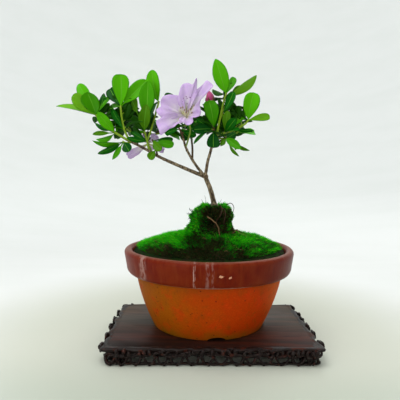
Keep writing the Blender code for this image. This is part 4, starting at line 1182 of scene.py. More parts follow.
# A leaf leaves its node at an angle in the front view, counted anticlockwise from +X. Reach is
# how far its tip gets in that view, width is what shows of its width there, and forward is how
# much nearer the front it lies. The petiole is the bare share of its length, and blunt is small
# for a round tip and near 1 for a pointed one.
Leaf = namedtuple("Leaf", "angle reach width forward petiole tone blunt")
# A whorl sits at a share of its shoot's length. The seeded rule adds its leaves that point to
# the back and to the front.
Whorl = namedtuple("Whorl", "share leaves back_leaves front_leaves", defaults=(0,))
# A shoot passes through its bends. The first one of a mass is its stem, which starts on a limb,
# and the others start on that stem.
Shoot = namedtuple("Shoot", "points radius whorls young", defaults=(True,))
Mass = namedtuple("Mass", "limb shoots")

FOLIAGE = {
    "foliage_left_tip": Mass("bough_left", (
        Shoot(((-59, -7.7, 146.4), (-66.3, -8.2, 150.6), (-71.8, -8.5, 154), (-77.8, -8.8, 159.2),
               (-83.6, -9, 165.4)), 0.95, (
            Whorl(1, (
                Leaf(121, 27.5, 8.8, -4, 0.12, BRIGHT, 0.55), Leaf(137, 18.5, 9.3, 9, 0.1, FRESH, 0.4),
                Leaf(96, 12, 12.6, 17, 0.1, MIDDLE, 0.4), Leaf(77, 18, 4.4, -9, 0.1, DARK, 0.8),
                Leaf(165, 28.5, 4.8, 3, 0.06, FRESH, 0.8)), 2),
            Whorl(0.36, (
                Leaf(157, 18.5, 3.2, -5, 0.3, DARK, 0.7), Leaf(186, 15.2, 3.6, 6, 0.3, OLIVE, 0.6),
                Leaf(197, 17.5, 3.6, -8, 0.15, BRIGHT, 0.7), Leaf(129, 17.5, 7.8, 8, 0.12, BRIGHT, 0.6)), 2),
        )),
    )),
    "foliage_left_crown": Mass("bough_left", (
        Shoot(((-57.6, -7.4, 145.4), (-61.2, -8, 151.6), (-64, -8, 161), (-65.2, -8, 172)),
              0.85, (
            Whorl(1, (
                Leaf(87, 22, 12.3, 5, 0.06, BRIGHT, 0.32), Leaf(124, 17.5, 8.8, -8, 0.1, DEEP_SHADE, 0.42),
                Leaf(50, 28, 10.4, -7, 0.12, BRIGHT, 0.6)), 2),
            Whorl(0.35, (
                Leaf(114, 19, 6.6, -8, 0.12, DARK, 0.5), Leaf(124, 19.5, 5.2, -3, 0.1, DARK, 0.6)), 3, 1),
        )),
    )),
    "foliage_left_fan": Mass("bough_left", (
        Shoot(((-57, -7.4, 145.2), (-60.4, -11, 144.6), (-63, -12, 145.8)), 0.7, (
            Whorl(1, (
                Leaf(183, 21.5, 3.4, 4, 0.14, MIDDLE, 0.8), Leaf(205, 21.5, 3.8, -3, 0.14, DARK, 0.7),
                Leaf(243, 14.5, 3.6, 6, 0.25, MIDDLE, 0.8), Leaf(306, 8.5, 7.4, 4, 0.1, DEEP_SHADE, 0.4)), 0),
        )),
    )),
    "foliage_left_middle": Mass("bough_left", (
        Shoot(((-44.4, -5.9, 139.4), (-46.2, -5, 146), (-48.6, -3.4, 154.6)), 0.8, (
            Whorl(1, (
                Leaf(85, 35.5, 11.8, 7, 0.34, MIDDLE, 0.75), Leaf(113, 29.5, 7.4, -3, 0.5, OLIVE, 0.5),
                Leaf(72, 24, 5.2, -2, 0.1, DARK, 0.7), Leaf(80, 17.5, 8.8, 12, 0.1, OLIVE, 0.6)), 2, 1),
            Whorl(0.45, (
                Leaf(172, 13, 4.2, 8, 0.1, DARK, 0.6), Leaf(150, 15, 4, -4, 0.1, DARK, 0.6)), 0),
        )),
        Shoot(((-46.2, -5, 146), (-42.2, -3, 160), (-38, -2.5, 176)), 0.7, (
            Whorl(1, (Leaf(102, 23.5, 9.6, 3, 0.05, BRIGHT, 0.55),), 2),
            Whorl(0.5, (), 2),
        )),
    )),
    "foliage_left_low": Mass("bough_left", (
        Shoot(((-38.2, -4.7, 136), (-39.4, -7.4, 140.4), (-42, -8.4, 147.6)), 0.7, (
            Whorl(1, (
                Leaf(312, 9.5, 6, 6, 0.1, OLIVE, 0.35), Leaf(349, 15.5, 6, 3, 0.2, MIDDLE, 0.35),
                Leaf(6, 14.5, 3.8, -5, 0.2, DARK, 0.5)), 1, 1),
            Whorl(0.4, (Leaf(238, 8.5, 6, 2, 0.15, OLIVE, 0.4),), 0),
        ), False),
    )),
    "foliage_centre": Mass("bough_middle", (
        Shoot(((-18.9, -3.5, 145.8), (-20.6, -4.2, 151.4), (-23, -4.6, 156.4)), 0.7, (
            Whorl(1, (
                Leaf(196, 11.5, 4.6, -3, 0.1, DARK, 0.5), Leaf(318, 9, 5.8, -4, 0.1, DEEP_SHADE, 0.5),
                Leaf(340, 13, 4.8, -3, 0.2, DARK, 0.5)), 2),
        ), False),
        Shoot(((-20.9, -4.2, 152.4), (-16.6, -0.8, 155.6)), 0.7, (
            Whorl(1, (
                Leaf(20, 10.5, 5.6, -2, 0.1, DARK, 0.5), Leaf(75, 11, 5, -4, 0.1, DARK, 0.5)), 0),
        ), False),
    )),
    "foliage_right_hub": Mass("bough_right", (
        Shoot(((2.2, -0.9, 150.5), (2.5, -1.6, 157.4)), 0.95, (
            Whorl(1, (
                Leaf(101, 19, 10.6, 9, 0.1, MIDDLE, 0.28), Leaf(112, 20.5, 4, -3, 0.2, DEEP_SHADE, 0.6),
                Leaf(74, 18.5, 4.6, -9, 0.15, DARK, 0.6), Leaf(186, 14.6, 7.6, 8, 0.12, DEEP_SHADE, 0.5),
                Leaf(214, 18.5, 3, 1, 0.35, DARK, 0.7), Leaf(154, 14, 4.6, 4, 0.3, DARK, 0.6)), 2, 1),
        ), False),
        Shoot(((2.4, -1.4, 155.4), (2.7, -5.6, 155)), 0.7, (
            Whorl(1, (Leaf(269, 13, 9.8, 1, 0.12, DEEP_SHADE, 0.34),), 0),
        ), False),
    )),
    "foliage_right_top": Mass("bough_right", (
        Shoot(((1.9, -0.8, 147), (4.8, -2.4, 152.4), (6.2, -2.4, 160), (9, -2.6, 174),
               (11.4, -3, 182.4)), 0.85, (
            Whorl(1, (
                Leaf(109, 24.6, 11.2, 7, 0.05, BRIGHT, 0.75), Leaf(66, 15.5, 5.4, -9, 0.08, MIDDLE, 0.5)), 2),
        )),
        Shoot(((6.4, -2.4, 162), (11.6, -1.6, 175), (14.6, -1, 181.8)), 0.7, (
            Whorl(1, (Leaf(37, 25.4, 5.8, -5, 0.03, FRESH, 0.7),), 1),
            Whorl(0.25, (Leaf(63, 17.5, 6.2, 4, 0.15, DARK, 0.4),), 0),
        )),
    )),
    "foliage_right_side": Mass("bough_right", (
        Shoot(((2.1, -0.8, 150), (6, 1.8, 152.4), (12.6, 1.6, 154.2), (19.6, 0.8, 156.6),
               (25.8, 0.1, 160.4), (28.3, 0, 163.8)), 0.8, (
            Whorl(1, (
                Leaf(80, 19.2, 12, 6, 0.04, BRIGHT, 0.36), Leaf(11, 17, 5.8, -4, 0.05, FRESH, 0.4)), 2),
            Whorl(0.33, (
                Leaf(47, 25, 6.8, -5, 0.2, MIDDLE, 0.6), Leaf(70, 18.5, 9, -9, 0.12, DARK, 0.5),
                Leaf(84, 15, 6.2, 7, 0.15, OLIVE, 0.5), Leaf(52, 11, 6.8, 11, 0.1, DARK, 0.5)), 2, 1),
            Whorl(0.6, (Leaf(355, 13.6, 2.6, 2, 0.1, DARK, 0.9),), 0),
        )),
    )),
    "foliage_right_low": Mass("bough_right", (
        Shoot(((1.6, -0.8, 145.5), (6.6, 0.2, 147.2), (12, -1, 150.2)), 0.7, (
            Whorl(1, (
                Leaf(323, 13.4, 6, 8, 0.06, MIDDLE, 0.6), Leaf(331, 20.5, 2.6, -2, 0.45, OLIVE, 0.9),
                Leaf(306, 17, 2.2, 5, 0.4, OLIVE, 0.9), Leaf(240, 7, 3.8, 3, 0.1, OLIVE, 0.7)), 2, 1),
        ), False),
    )),
    "foliage_left_back": Mass("bough_left", (
        Shoot(((-53, -7.2, 143.8), (-54, 1, 149), (-53, 12, 155), (-50, 22, 163)),
              0.8, (Whorl(1, (), 4, 1), Whorl(0.72, (), 2)), False),
        Shoot(((-53.4, 8, 153), (-62, 15, 155), (-69, 19, 161)), 0.7, (
            Whorl(1, (), 4, 1),)),
        Shoot(((-53, 11, 154.5), (-43, 19, 154), (-35, 25, 158)), 0.7, (
            Whorl(1, (), 4, 1),)),
    )),
    "foliage_centre_back": Mass("bough_middle", (
        Shoot(((-13.2, -1.7, 133.6), (-13.6, 7, 144), (-16, 12, 160), (-18, 12, 178)),
              0.8, (
            Whorl(1, (
                Leaf(160, 18.5, 4.8, 2, 0.45, DARK, 0.5), Leaf(70, 9, 4.6, -3, 0.1, DARK, 0.5)), 3),
            Whorl(0.7, (), 3, 1)), False),
        Shoot(((-14.4, 9, 150), (-12, 19, 157), (-10, 25, 163)), 0.7, (
            Whorl(1, (), 5),)),
    )),
    "foliage_right_back": Mass("bough_right", (
        Shoot(((0.2, -0.5, 137.5), (2, 8, 146), (8, 16, 158), (13, 20, 169)), 0.8, (
            Whorl(1, (), 4, 1), Whorl(0.7, (), 3)), False),
        Shoot(((4, 11, 150), (15, 18, 152), (22, 24, 157)), 0.7, (
            Whorl(1, (), 4, 1),)),
    )),
}

LEAF_ROWS = 9
LEAF_COLUMNS = (-1, -0.78, -0.42, -0.035, 0.035, 0.42, 0.78, 1)
# The pale midrib, which fades out before the tip
RIB_COLUMN, RIB_ROWS = 3, LEAF_ROWS - 1
PETIOLE_HALF_WIDTH, LEAF_FULLNESS = 0.42, 0.36
SHOOT_TIP_RADIUS, NODE_SETBACK = 0.68, 1
RULE_LEAF_LENGTH, RULE_LEAF_WIDTH, RULE_PETIOLE, RULE_TRIES = 17, 6.8, 0.1, 12
# Rule and fine leaves lie inside the crown: the dark and deep tones among theirs are painted shade.
RULE_TONES = (MIDDLE, MIDDLE, DARK, DARK, OLIVE, BRIGHT)
FINE_TONES = (MIDDLE, DARK, DARK, DEEP_SHADE, DEEP_SHADE)
FINE_TWIG_LENGTH, FINE_LEAF_LENGTH, FINE_TWIG_RADIUS = (3, 7), (9.5, 14), 0.32
FINE_TWIGS, FINE_LEAVES, FEWEST_FINE_LEAVES, FINE_LEAF_FORWARD, FINE_LEAF_DROP = 5, 5, 3, 1.5, 1


def leaf_outline(share, blunt):
    """Half width of a leaf at a share of its blade's length, 1 at its broadest."""
    rise = 0.85 if blunt < 0.6 else 0.75
    peak = rise / (rise + blunt)
    whole = peak ** rise * (1 - peak) ** blunt
    return max(share, 0) ** rise * max(1 - share, 0) ** blunt / whole


def leaf_faces():
    """A leaf's faces and their tones, which are None where the leaf's own tone shows."""
    columns = len(LEAF_COLUMNS)
    per_row, last_row = 2 * columns - 2, LEAF_ROWS + 1
    under = [0, *range(columns, per_row), columns - 1]
    faces, tones = [], []
    for row in range(last_row):
        low, high = row * per_row, (row + 1) * per_row
        for k, (a, b) in enumerate(zip(under, under[1:])):
            faces += [(low + k, low + k + 1, high + k + 1, high + k),
                      (low + b, low + a, high + a, high + b)]
            tones += [RIB if k == RIB_COLUMN and row < RIB_ROWS else None, UNDER]
    rim = [*range(columns), *range(per_row - 1, columns - 1, -1)]
    faces += [tuple(reversed(rim)), tuple(last_row * per_row + i for i in rim)]
    return faces, [*tones, None, None]


def leaf_shape(base, tip, facing, turn, width, petiole, blunt, rng, thickness):
    """A closed leaf: hollow along its midrib, with a bow, a twist and an uneven edge."""
    length = (tip - base).length
    along = (tip - base) / length
    face = facing - along * facing.dot(along)
    face = face.normalized() if face.length > 0.05 else side_of(along)
    face = Matrix.Rotation(turn, 3, along) @ face
    across = face.cross(along)
    bow, fold = rng.uniform(0.02, 0.07) * length, rng.uniform(0.22, 0.45)
    curl, wave = rng.uniform(0, 0.09) * length, rng.uniform(0, math.tau)
    bend = rng.uniform(-0.04, 0.04) * length
    points = []
    for row in range(-1, LEAF_ROWS + 1):
        blade = math.sin(math.pi / 2 * max(row, 0) / LEAF_ROWS) ** 1.1
        share = petiole + (1 - petiole) * blade if row >= 0 else 0
        blade = max(0, (share - petiole) / (1 - petiole))
        half = max(width / 2 * leaf_outline(blade, blunt), PETIOLE_HALF_WIDTH * (1 - blade) ** 2, 0.05)
        middle = base + along * length * share + face * (bow * math.sin(math.pi * share) - curl * share ** 3)
        middle += across * bend * math.sin(math.pi * share)
        upper, lower = [], []
        for v in LEAF_COLUMNS:
            edge = half * (1 + 0.03 * math.sin(9 * share + wave + v))
            rise = fold * half * abs(v) ** 1.4 + 0.05 * half * math.sin(7 * share + wave) * v * v
            spot = middle + across * edge * v + face * rise
            upper.append(spot)
            if abs(v) < 1:
                lower.append(spot - face * max(thickness * (1 - v * v), 0.06))
        points += upper + lower
    return points


class Grower:
    """Grows one mass of foliage after another, its leaves and its twigs apart."""

    def __init__(self, thickness, twigs):
        self.leaves, self.twigs, self.thickness = Sculpt(), twigs, thickness
        self.faces, self.tones = leaf_faces()

    def leaf(self, base, tip, facing, turn, width, petiole, tone, blunt, rng):
        points = leaf_shape(base, tip, facing, turn, width, petiole, blunt, rng, self.thickness)
        self.leaves.add((points, self.faces), [tone if t is None else t for t in self.tones])

    def twig(self, route, start_radius, end_radius, young, sides=8):
        self.twigs.add(tube(route, tapered(route, start_radius, end_radius), sides), int(young))

    def named_leaf(self, node, leaf, rng):
        turn = math.radians(leaf.angle)
        tip = node + Vector((math.cos(turn) * leaf.reach, -leaf.forward, math.sin(turn) * leaf.reach))
        full = max(leaf.width, LEAF_FULLNESS * leaf.reach * (1 - leaf.petiole))
        roll = math.acos(leaf.width / full) * rng.choice((-1, 1))
        self.leaf(node, tip, FRONT, roll, full, leaf.petiole, leaf.tone, leaf.blunt, rng)

    def rule_leaf(self, node, away, box, rng, looks):
        """A leaf of the source's rule, drawn as there until its tip is within the mass's reach."""
        for _ in range(RULE_TRIES):
            width = RULE_LEAF_WIDTH * rng.uniform(0.8, 1.15)
            facing = Vector((rng.uniform(-1, 1), rng.uniform(-1, 1), rng.uniform(0.2, 1))).normalized()
            turn, off = rng.uniform(0, math.tau), math.radians(rng.uniform(25, 65))
            length = RULE_LEAF_LENGTH * rng.uniform(0.8, 1.15)
            out = Vector((math.cos(turn) * math.sin(off), away * math.cos(off),
                          math.sin(turn) * math.sin(off) * 0.8 + 0.15))
            tip = node + out.normalized() * length
            if inside(tip, box):
                self.leaf(node, tip, facing, 0, width, RULE_PETIOLE, looks.choice(RULE_TONES),
                          looks.uniform(0.4, 0.75), looks)
                return

    def fine_twig(self, node, box, rng):
        """A short side twig with a few small leaves, where the mass's box has room for it."""
        out = Vector((rng.gauss(0, 0.8), abs(rng.gauss(0.3, 0.6)), rng.uniform(0, 1))).normalized()
        end = node + out * rng.uniform(*FINE_TWIG_LENGTH)
        side, leaves = side_of(out), []
        for k in range(FINE_LEAVES):
            turn = math.tau * (k + rng.uniform(0, 0.6)) / FINE_LEAVES
            lean = spoke(side, out.cross(side), turn)
            tip = end + (out * 0.8 + lean).normalized() * rng.uniform(*FINE_LEAF_LENGTH)
            hangs = tip.y < node.y - FINE_LEAF_FORWARD or tip.z < node.z - FINE_LEAF_DROP
            if inside(tip, box) and not (hangs or before_sky(tip) or before_sky(end.lerp(tip, 0.5))):
                leaves.append((tip, (out - lean * 0.3).normalized()))
        if len(leaves) < FEWEST_FINE_LEAVES or not inside(end, box):
            return
        self.twig(smooth_route((node, node.lerp(end, 0.5) + UP * 0.5, end), 2), 0.4, FINE_TWIG_RADIUS,
                  rng.random() < 0.5, 6)
        for tip, facing in leaves:
            self.leaf(end, tip, facing, 0, rng.uniform(4, 5.6), 0.12, rng.choice(FINE_TONES),
                      rng.uniform(0.45, 0.7), rng)

    def mass(self, name, mass):
        rng, looks, fine = (random.Random(name + part) for part in ("", "_looks", "_fine"))
        box, limb, stem = node_box(name), limb_route(mass.limb), None
        for shoot in mass.shoots:
            points = [Vector(p) for p in shoot.points]
            route = smooth_route([nearest_on(stem or limb, points[0]), *points[1:]], 3)
            stem = stem or route
            self.twig(route, shoot.radius, SHOOT_TIP_RADIUS, shoot.young)
            whole = route_length(route)
            for whorl in shoot.whorls:
                node = point_along(route, min(whole * whorl.share, whole - NODE_SETBACK))
                for leaf in whorl.leaves:
                    self.named_leaf(node, leaf, looks)
                for away in [1] * whorl.back_leaves + [-1] * whorl.front_leaves:
                    self.rule_leaf(node, away, box, rng, looks)
            for _ in range(FINE_TWIGS):
                self.fine_twig(point_along(route, whole * fine.uniform(0.45, 0.9)), box, fine)


def node_box(name):
    """A node's box in millimetres about the pot's axis."""
    low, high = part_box(name)
    return [(Vector(corner) - Vector((POT_AXIS.x, POT_AXIS.y, 0))) / MM for corner in (low, high)]


def inside(point, box):
    return all(box[0][i] <= point[i] <= box[1][i] for i in range(3))


# Where sky shows through the crown in the photograph, laid on the plane Y = 0: X, Z and radius
OPENINGS = ((7.3, 185.6, 4.2), (24.6, 185.6, 5.5), (-79.6, 184.4, 4.5), (-93.4, 164.2, 6.5),
            (-43.3, 174.9, 3))


def before_sky(point):
    """Whether a point would cover one of the openings, seen from the camera."""
    nearness = CAMERA_PLACE.y / (CAMERA_PLACE.y - point.y)
    x, z = point.x * nearness, CAMERA_PLACE.z + (point.z - CAMERA_PLACE.z) * nearness
    return any(math.hypot(x - middle_x, z - middle_z) < radius for middle_x, middle_z, radius in OPENINGS)


def leaf_finishes(settings):
    tones = (("bright", settings.bright), ("pale", settings.fresh), ("middle", settings.middle),
             ("olive", settings.olive), ("dark", settings.dark), ("deep", settings.deep),
             ("rib", settings.rib), ("under", (0.12, 0.30, 0.03)))
    return [plain_finish(f"leaf_{name}", colour, 0.46, 0.07, 0.05, 0.6) for name, colour in tones]


def make_foliage(settings):
    """Leaves in one piece for each bough, and all the twigs in one."""
    looks, twigs = leaf_finishes(settings), Sculpt()
    for limb in LIMBS:
        grower = Grower(settings.thickness / MM, twigs)
        names = [name for name, mass in FOLIAGE.items() if mass.limb == limb]
        for name in names:
            grower.mass(name, FOLIAGE[name])
        hand_over(grower.leaves.build(f"leaves_{limb}", looks), "leaf", *names)
    stems = [plain_finish("twig_woody", (0.30, 0.22, 0.13), 0.75, 0.25, 0.15),
             plain_finish("twig_young", settings.young_stem, 0.5, 0.3, 0.08)]
    hand_over(twigs.build("twigs", stems), "bark")


# Blossom


# Petals are given as leaves are. The edge goes round the petal clockwise: degrees to the left of
# its middle, and the share of its reach that it gets to there. Without one the petal is round.
Petal = namedtuple("Petal", "angle reach width forward edge", defaults=((),))
ROUND_EDGE = ((1, 0.55), (0.7, 0.9), (0.3, 1), (0, 0.96), (-0.35, 1), (-0.75, 0.88), (-1, 0.55))
Bloom = namedtuple("Bloom", "limb route depth petals stamens")
BLOOMS = {
    "bloom_front": Bloom(
        "bough_middle",
        ((-17.9, -3.1, 142.5), (-16, -6.6, 148), (-14.4, -9.6, 154), (-15.2, -12, 159),
         (-17, -12.6, 163)),
        7,
        (
            Petal(84, 22.5, 15.5, 3, ((44, 0.42), (30, 0.59), (22, 0.73), (13, 0.92), (3, 0.95), (-7, 0.92),
                                      (-10, 1.14), (-15, 0.9), (-24, 0.66))),
            Petal(55, 29.5, 12.5, 1, ((24, 0.36), (8, 0.74), (5, 0.92), (-2, 0.94), (-9, 0.9), (-7, 0.68),
                                      (-9, 0.5), (-22, 0.38), (-56, 0.34), (-70, 0.2))),
            Petal(330, 9.5, 10.5, 8, ((48, 0.9), (27, 1.06), (8, 0.76), (-4, 0.62), (-21, 0.84), (-50, 0.86),
                                      (-73, 0.67), (-92, 0.73), (-112, 0.6))),
            Petal(226, 24.5, 19, 4, ((28, 0.24), (5, 0.35), (2, 0.48), (-6, 0.66), (-5, 0.92), (-15, 0.88),
                                       (-32, 0.87), (-37, 0.72), (-52, 0.5))),
            Petal(150, 20, 17.5, 2, ((48, 0.6), (35, 0.9), (22, 1.05), (13, 0.92), (4, 1), (-5, 1),
                                       (-16, 0.93), (-27, 0.8), (-38, 0.7), (-52, 0.45))),
        ),
        8,
    ),
    "bloom_under": Bloom(
        "bough_left",
        ((-42.4, -5.5, 138.4), (-44.4, -1, 141.6), (-46.6, 2.6, 144.4)),
        -4,
        (
            Petal(209, 19.5, 8.5, 0), Petal(336, 12.6, 6, 0), Petal(60, 9, 9, -6),
            Petal(130, 10, 9, -6), Petal(270, 4.5, 7, -9),
        ),
        0,
    ),
}
PETAL_ROWS, EDGE_STEPS, FUNNEL_START = 18, 3, 0.05
ROUND_PETAL_FULLNESS, PETAL_THICKNESS, FRECKLES, FLOWER_STALK_RADIUS = 1.2, 0.28, 12, 0.62
BUD_NODE, BUD_TIP = Vector((2.3, -0.8, 156.6)), Vector((-1.4, 2, 184.5))
BUD_LENGTH, BUD_RADIUS, BUD_ROWS, BUD_SIDES, BUD_SCALES = 10, 3.2, 12, 20, 5
FLOWER_STALK, STAMEN, ANTHER, FRECKLE, BUD, SCALE = range(6)


def petal_edge(petal):
    """Points along a petal's edge, each as its angle in degrees and its distance from the throat."""
    half = math.degrees(math.atan(petal.width / 2 / petal.reach)) * ROUND_PETAL_FULLNESS
    edge = petal.edge or [(half * across, share) for across, share in ROUND_EDGE]
    return smooth_route([(petal.angle + off, petal.reach * share, 0) for off, share in edge], EDGE_STEPS)


def petal_points(throat, mouth, petal, frill, rng):
    """Rows of points from the throat to the ruffled edge, spread like a fan."""
    edge, depth, phase = petal_edge(petal), throat.y - mouth.y, rng.uniform(0, math.tau)
    rows = []
    for i in range(PETAL_ROWS + 1):
        s = FUNNEL_START + (1 - FUNNEL_START) * i / PETAL_ROWS
        row = []
        for v, spot in zip(across_petal(edge), edge):
            turn = math.radians(spot.x)
            ruffle = frill * s ** 2.2 * (math.sin(7 * v + phase) + 0.6 * math.sin(16 * v - phase * 2))
            crease = 1.6 * s * (1 - s) * math.exp(-(v / 0.22) ** 2)
            back = depth * (1 - s) ** 1.7 + 1.6 * s ** 3 + 0.05 * petal.reach * (s * v) ** 2 + crease
            row.append(Vector((mouth.x + math.cos(turn) * spot.y * s,
                               mouth.y + back - petal.forward * s - ruffle,
                               mouth.z + math.sin(turn) * spot.y * s)))
        rows.append(row)
    return rows


def across_petal(row):
    """Where each point of a row lies across its petal, from -1 on one side to 1 on the other."""
    return [2 * j / (len(row) - 1) - 1 for j in range(len(row))]


def petal_tint(share, v, settings):
    """Yellow-green in the throat, pale round it and lilac towards the edge."""
    stops = ((0, settings.throat), (0.13, settings.throat), (0.28, settings.pale), (0.62, settings.petal),
             (1, display(0.755, 0.64, 0.82)))
    start, end, t = between(stops, min(1, share * 0.9 + 0.14 * v * v))
    return tuple(a + (b - a) * t for a, b in zip(start, end))


def add_petal(sculpt, rows, settings):
    """A petal's surface through its rows, with the tint of each point."""
    columns = len(rows[0])
    corners = [i * columns + j for i in range(PETAL_ROWS) for j in range(columns - 1)]
    faces = [(a, a + 1, a + 1 + columns, a + columns) for a in corners]
    sculpt.add(([p for row in rows for p in row], faces))
    sculpt.tints += [petal_tint(i / PETAL_ROWS, v, settings)
                     for i, row in enumerate(rows) for v in across_petal(row)]


def add_bloom(sculpt, extras, bloom, settings, seed):
    rng = random.Random(seed)
    route = smooth_route([nearest_on(limb_route(bloom.limb), Vector(bloom.route[0])), *bloom.route[1:]], 3)
    throat = route[-1]
    mouth = throat + Vector((0, -bloom.depth, 1))
    extras.add(tube(route, [FLOWER_STALK_RADIUS] * len(route), 8), FLOWER_STALK)
    extras.add(bead(throat, (1.3, 1.8), 6, 10, (mouth - throat).normalized()), FLOWER_STALK)
    petals = [petal_points(throat, mouth, petal, settings.frill / MM, rng) for petal in bloom.petals]
    for rows in petals:
        add_petal(sculpt, rows, settings)
    if bloom.stamens:
        add_stamens(extras, throat, bloom, rng)
        add_freckles(extras, petals[0], rng)


def add_stamens(extras, throat, bloom, rng):
    """Thin bent stamens that spread from the throat, each with its anther."""
    for k in range(bloom.stamens):
        spread = (k / (bloom.stamens - 1) - 0.5) * 9
        tip = throat + Vector((spread + 1, -bloom.depth - rng.uniform(3.5, 6), rng.uniform(1.5, 6.5)))
        bend = throat.lerp(tip, 0.55) - UP * 1.3
        route = smooth_route((throat, bend, tip), 4)
        extras.add(tube(route, [0.2] * len(route), 6), STAMEN)
        extras.add(bead(tip, (0.42, 0.75), 5, 6, Vector((0.3, -0.2, 0.9)).normalized()), ANTHER)


def add_freckles(extras, rows, rng):
    """Dark purple freckles above the throat, on the upper petal."""
    for _ in range(FRECKLES):
        i, j = rng.randint(6, 10), rng.randint(4, len(rows[0]) - 5)
        extras.add(bead(rows[i][j] + FRONT * 0.2, (rng.uniform(0.28, 0.5), 0.18), 4, 7, FRONT), FRECKLE)


def add_bud(extras):
    """A closed bud of wrapped petals on its stalk, with brown scales at its foot."""
    along = (BUD_TIP - BUD_NODE).normalized()
    across = side_of(along)
    other = along.cross(across)
    foot = BUD_TIP - along * BUD_LENGTH
    extras.add(tube([BUD_NODE, foot + along], [0.6, 0.7], 8), FLOWER_STALK)
    rings = []
    for row in range(BUD_ROWS + 1):
        share = row / BUD_ROWS
        girth = BUD_RADIUS * math.sin(math.pi * min(1, 0.08 + 0.9 * share ** 0.9)) ** 0.8
        rings.append([foot + along * BUD_LENGTH * share + spoke(across, other, turn) * girth
                      * (1 + 0.1 * math.cos(3 * (turn + 1.6 * share))) for turn in around(BUD_SIDES)])
    extras.add(skin(rings), BUD)
    for turn in around(BUD_SCALES):
        out = spoke(across, other, turn)
        tip = foot + along * 5.2 + out * BUD_RADIUS * 0.95
        route = [foot, foot + along * 2.2 + out * BUD_RADIUS * 0.85, tip]
        extras.add(tube(smooth_route(route, 2), [0.6, 0.9, 1, 0.7, 0.2], 6), SCALE)


def make_blossom(settings):
    """The petals in one piece, with a thickness, and the small parts in another."""
    petals, extras = Sculpt(), Sculpt()
    for number, bloom in enumerate(BLOOMS.values()):
        add_bloom(petals, extras, bloom, settings, 70 + number)
    add_bud(extras)
    blossom = petals.build("petals", [petal_finish()])
    thick = blossom.modifiers.new("thickness", "SOLIDIFY")
    thick.thickness, thick.offset = PETAL_THICKNESS * MM, 0
    hand_over(blossom, "petal", *BLOOMS)
    looks = [plain_finish("flower_stalk", (0.42, 0.52, 0.16), 0.6, 0.3, 0.1),
             plain_finish("stamen", (0.88, 0.85, 0.70), 0.5, 0.3, 0.05, 0.3),
             plain_finish("anther", (0.56, 0.45, 0.34), 0.7, 0.2, 0.08, 0.3),
             plain_finish("freckle", (0.50, 0.24, 0.52), 0.6, 0.2, 0.05, 0.3),
             plain_finish("bud_petal", settings.bud, 0.5, 0.3, 0.2, 1.2),
             plain_finish("bud_scale", (0.36, 0.26, 0.10), 0.6, 0.3, 0.1)]
    hand_over(extras.build("stamens_and_bud", looks), "petal")


# Stage


CAMERA_PLACE, CAMERA_FOCAL = Vector((0, -313.65, 121.37)), 420
CAMERA_PITCH, CAMERA_ROLL, CAMERA_YAW = math.radians(3.25), math.radians(0.59), math.radians(1.31)
FRAME_PIXELS, SENSOR = 400, 36
FLOOR_FLAT, FLOOR_SWEEP, WALL_HEIGHT, FLOOR_SIDES, SWEEP_STEPS = 420, 1100, 2600, 96, 12
# The distances from the pot between which the floor's colour turns into the backdrop's
WALL_STARTS = (110, 260)
# The distances between which light begins to shine through it
GLOW_STARTS = (330, 750)
# The places along Y between which the floor turns a little darker towards the camera
NEAR_FLOOR = (-30, -110)
# Each lamp's name, place, size and share of the lamps' power
LAMPS = (("lamp_above", (-160, -200, 620), 420, 1),
         ("lamp_behind", (260, 420, 520), 380, 0.45),
         ("lamp_low", (-360, -520, 130), 240, 0.35))


def make_camera():
    """A camera where the photograph was taken from."""
    turn = Matrix.Rotation(CAMERA_YAW, 3, "Z")
    ahead = turn @ Vector((0, math.cos(CAMERA_PITCH), -math.sin(CAMERA_PITCH)))
    right = turn @ Vector((1, 0, 0))
    up = right.cross(ahead)
    rolled, upright = spoke(right, up, CAMERA_ROLL), spoke(up, -right, CAMERA_ROLL)
    lens = bpy.data.cameras.new("photo_camera")
    lens.sensor_width, lens.lens = SENSOR, CAMERA_FOCAL / FRAME_PIXELS * SENSOR
    lens.clip_start, lens.clip_end = 0.01, 20
    camera = bpy.data.objects.new("photo_camera", lens)
    turned = Matrix((rolled, upright, -ahead)).transposed().to_4x4()
    camera.matrix_world = Matrix.Translation(place(CAMERA_PLACE)) @ turned
    bpy.context.scene.collection.objects.link(camera)
    bpy.context.scene.camera = camera


def floor_finish(settings):
    """Pale cloth that turns into the backdrop's colour, and glows a little, away from the pot."""
    finish = Finish("pale_floor", 0.7, 0.2)
    away = finish.from_pot()
    finish.colour(finish.layers(
        settings.floor_colour,
        (finish.axis("Y"), *NEAR_FLOOR, 1, (0.72, 0.745, 0.69)),
        (away, *WALL_STARTS, 1, settings.wall_colour),
        (finish.noise(60, 5, (0.3, 1, 1)), 0.35, 0.7, 0.06, (0.70, 0.74, 0.68))))
    finish.shader.inputs["Emission Color"].default_value = (0.95, 0.99, 1, 1)
    finish.feed(finish.fade(away, *GLOW_STARTS, 0, settings.wall_glow),
                finish.shader.inputs["Emission Strength"])
    return finish.material


def make_floor(settings):
    """A pale floor that sweeps up into a round backdrop."""
    profile = [(1, 0), (FLOOR_FLAT * 0.4, 0), (FLOOR_FLAT, 0)]
    for k in range(1, SWEEP_STEPS + 1):
        turn = math.radians(90 * k / SWEEP_STEPS)
        profile.append((FLOOR_FLAT + FLOOR_SWEEP * math.sin(turn), FLOOR_SWEEP * (1 - math.cos(turn))))
    profile.append((FLOOR_FLAT + FLOOR_SWEEP, WALL_HEIGHT))
    rings = [[level(t, reach, height) for t in around(FLOOR_SIDES)] for reach, height in profile]
    sculpt = Sculpt()
    sculpt.add(skin(rings[::-1], ends=False))
    sculpt.add(([p.copy() for p in rings[0]], [tuple(range(FLOOR_SIDES))]))
    floor = sculpt.build("floor", [floor_finish(settings)])
    floor.visible_shadow = False


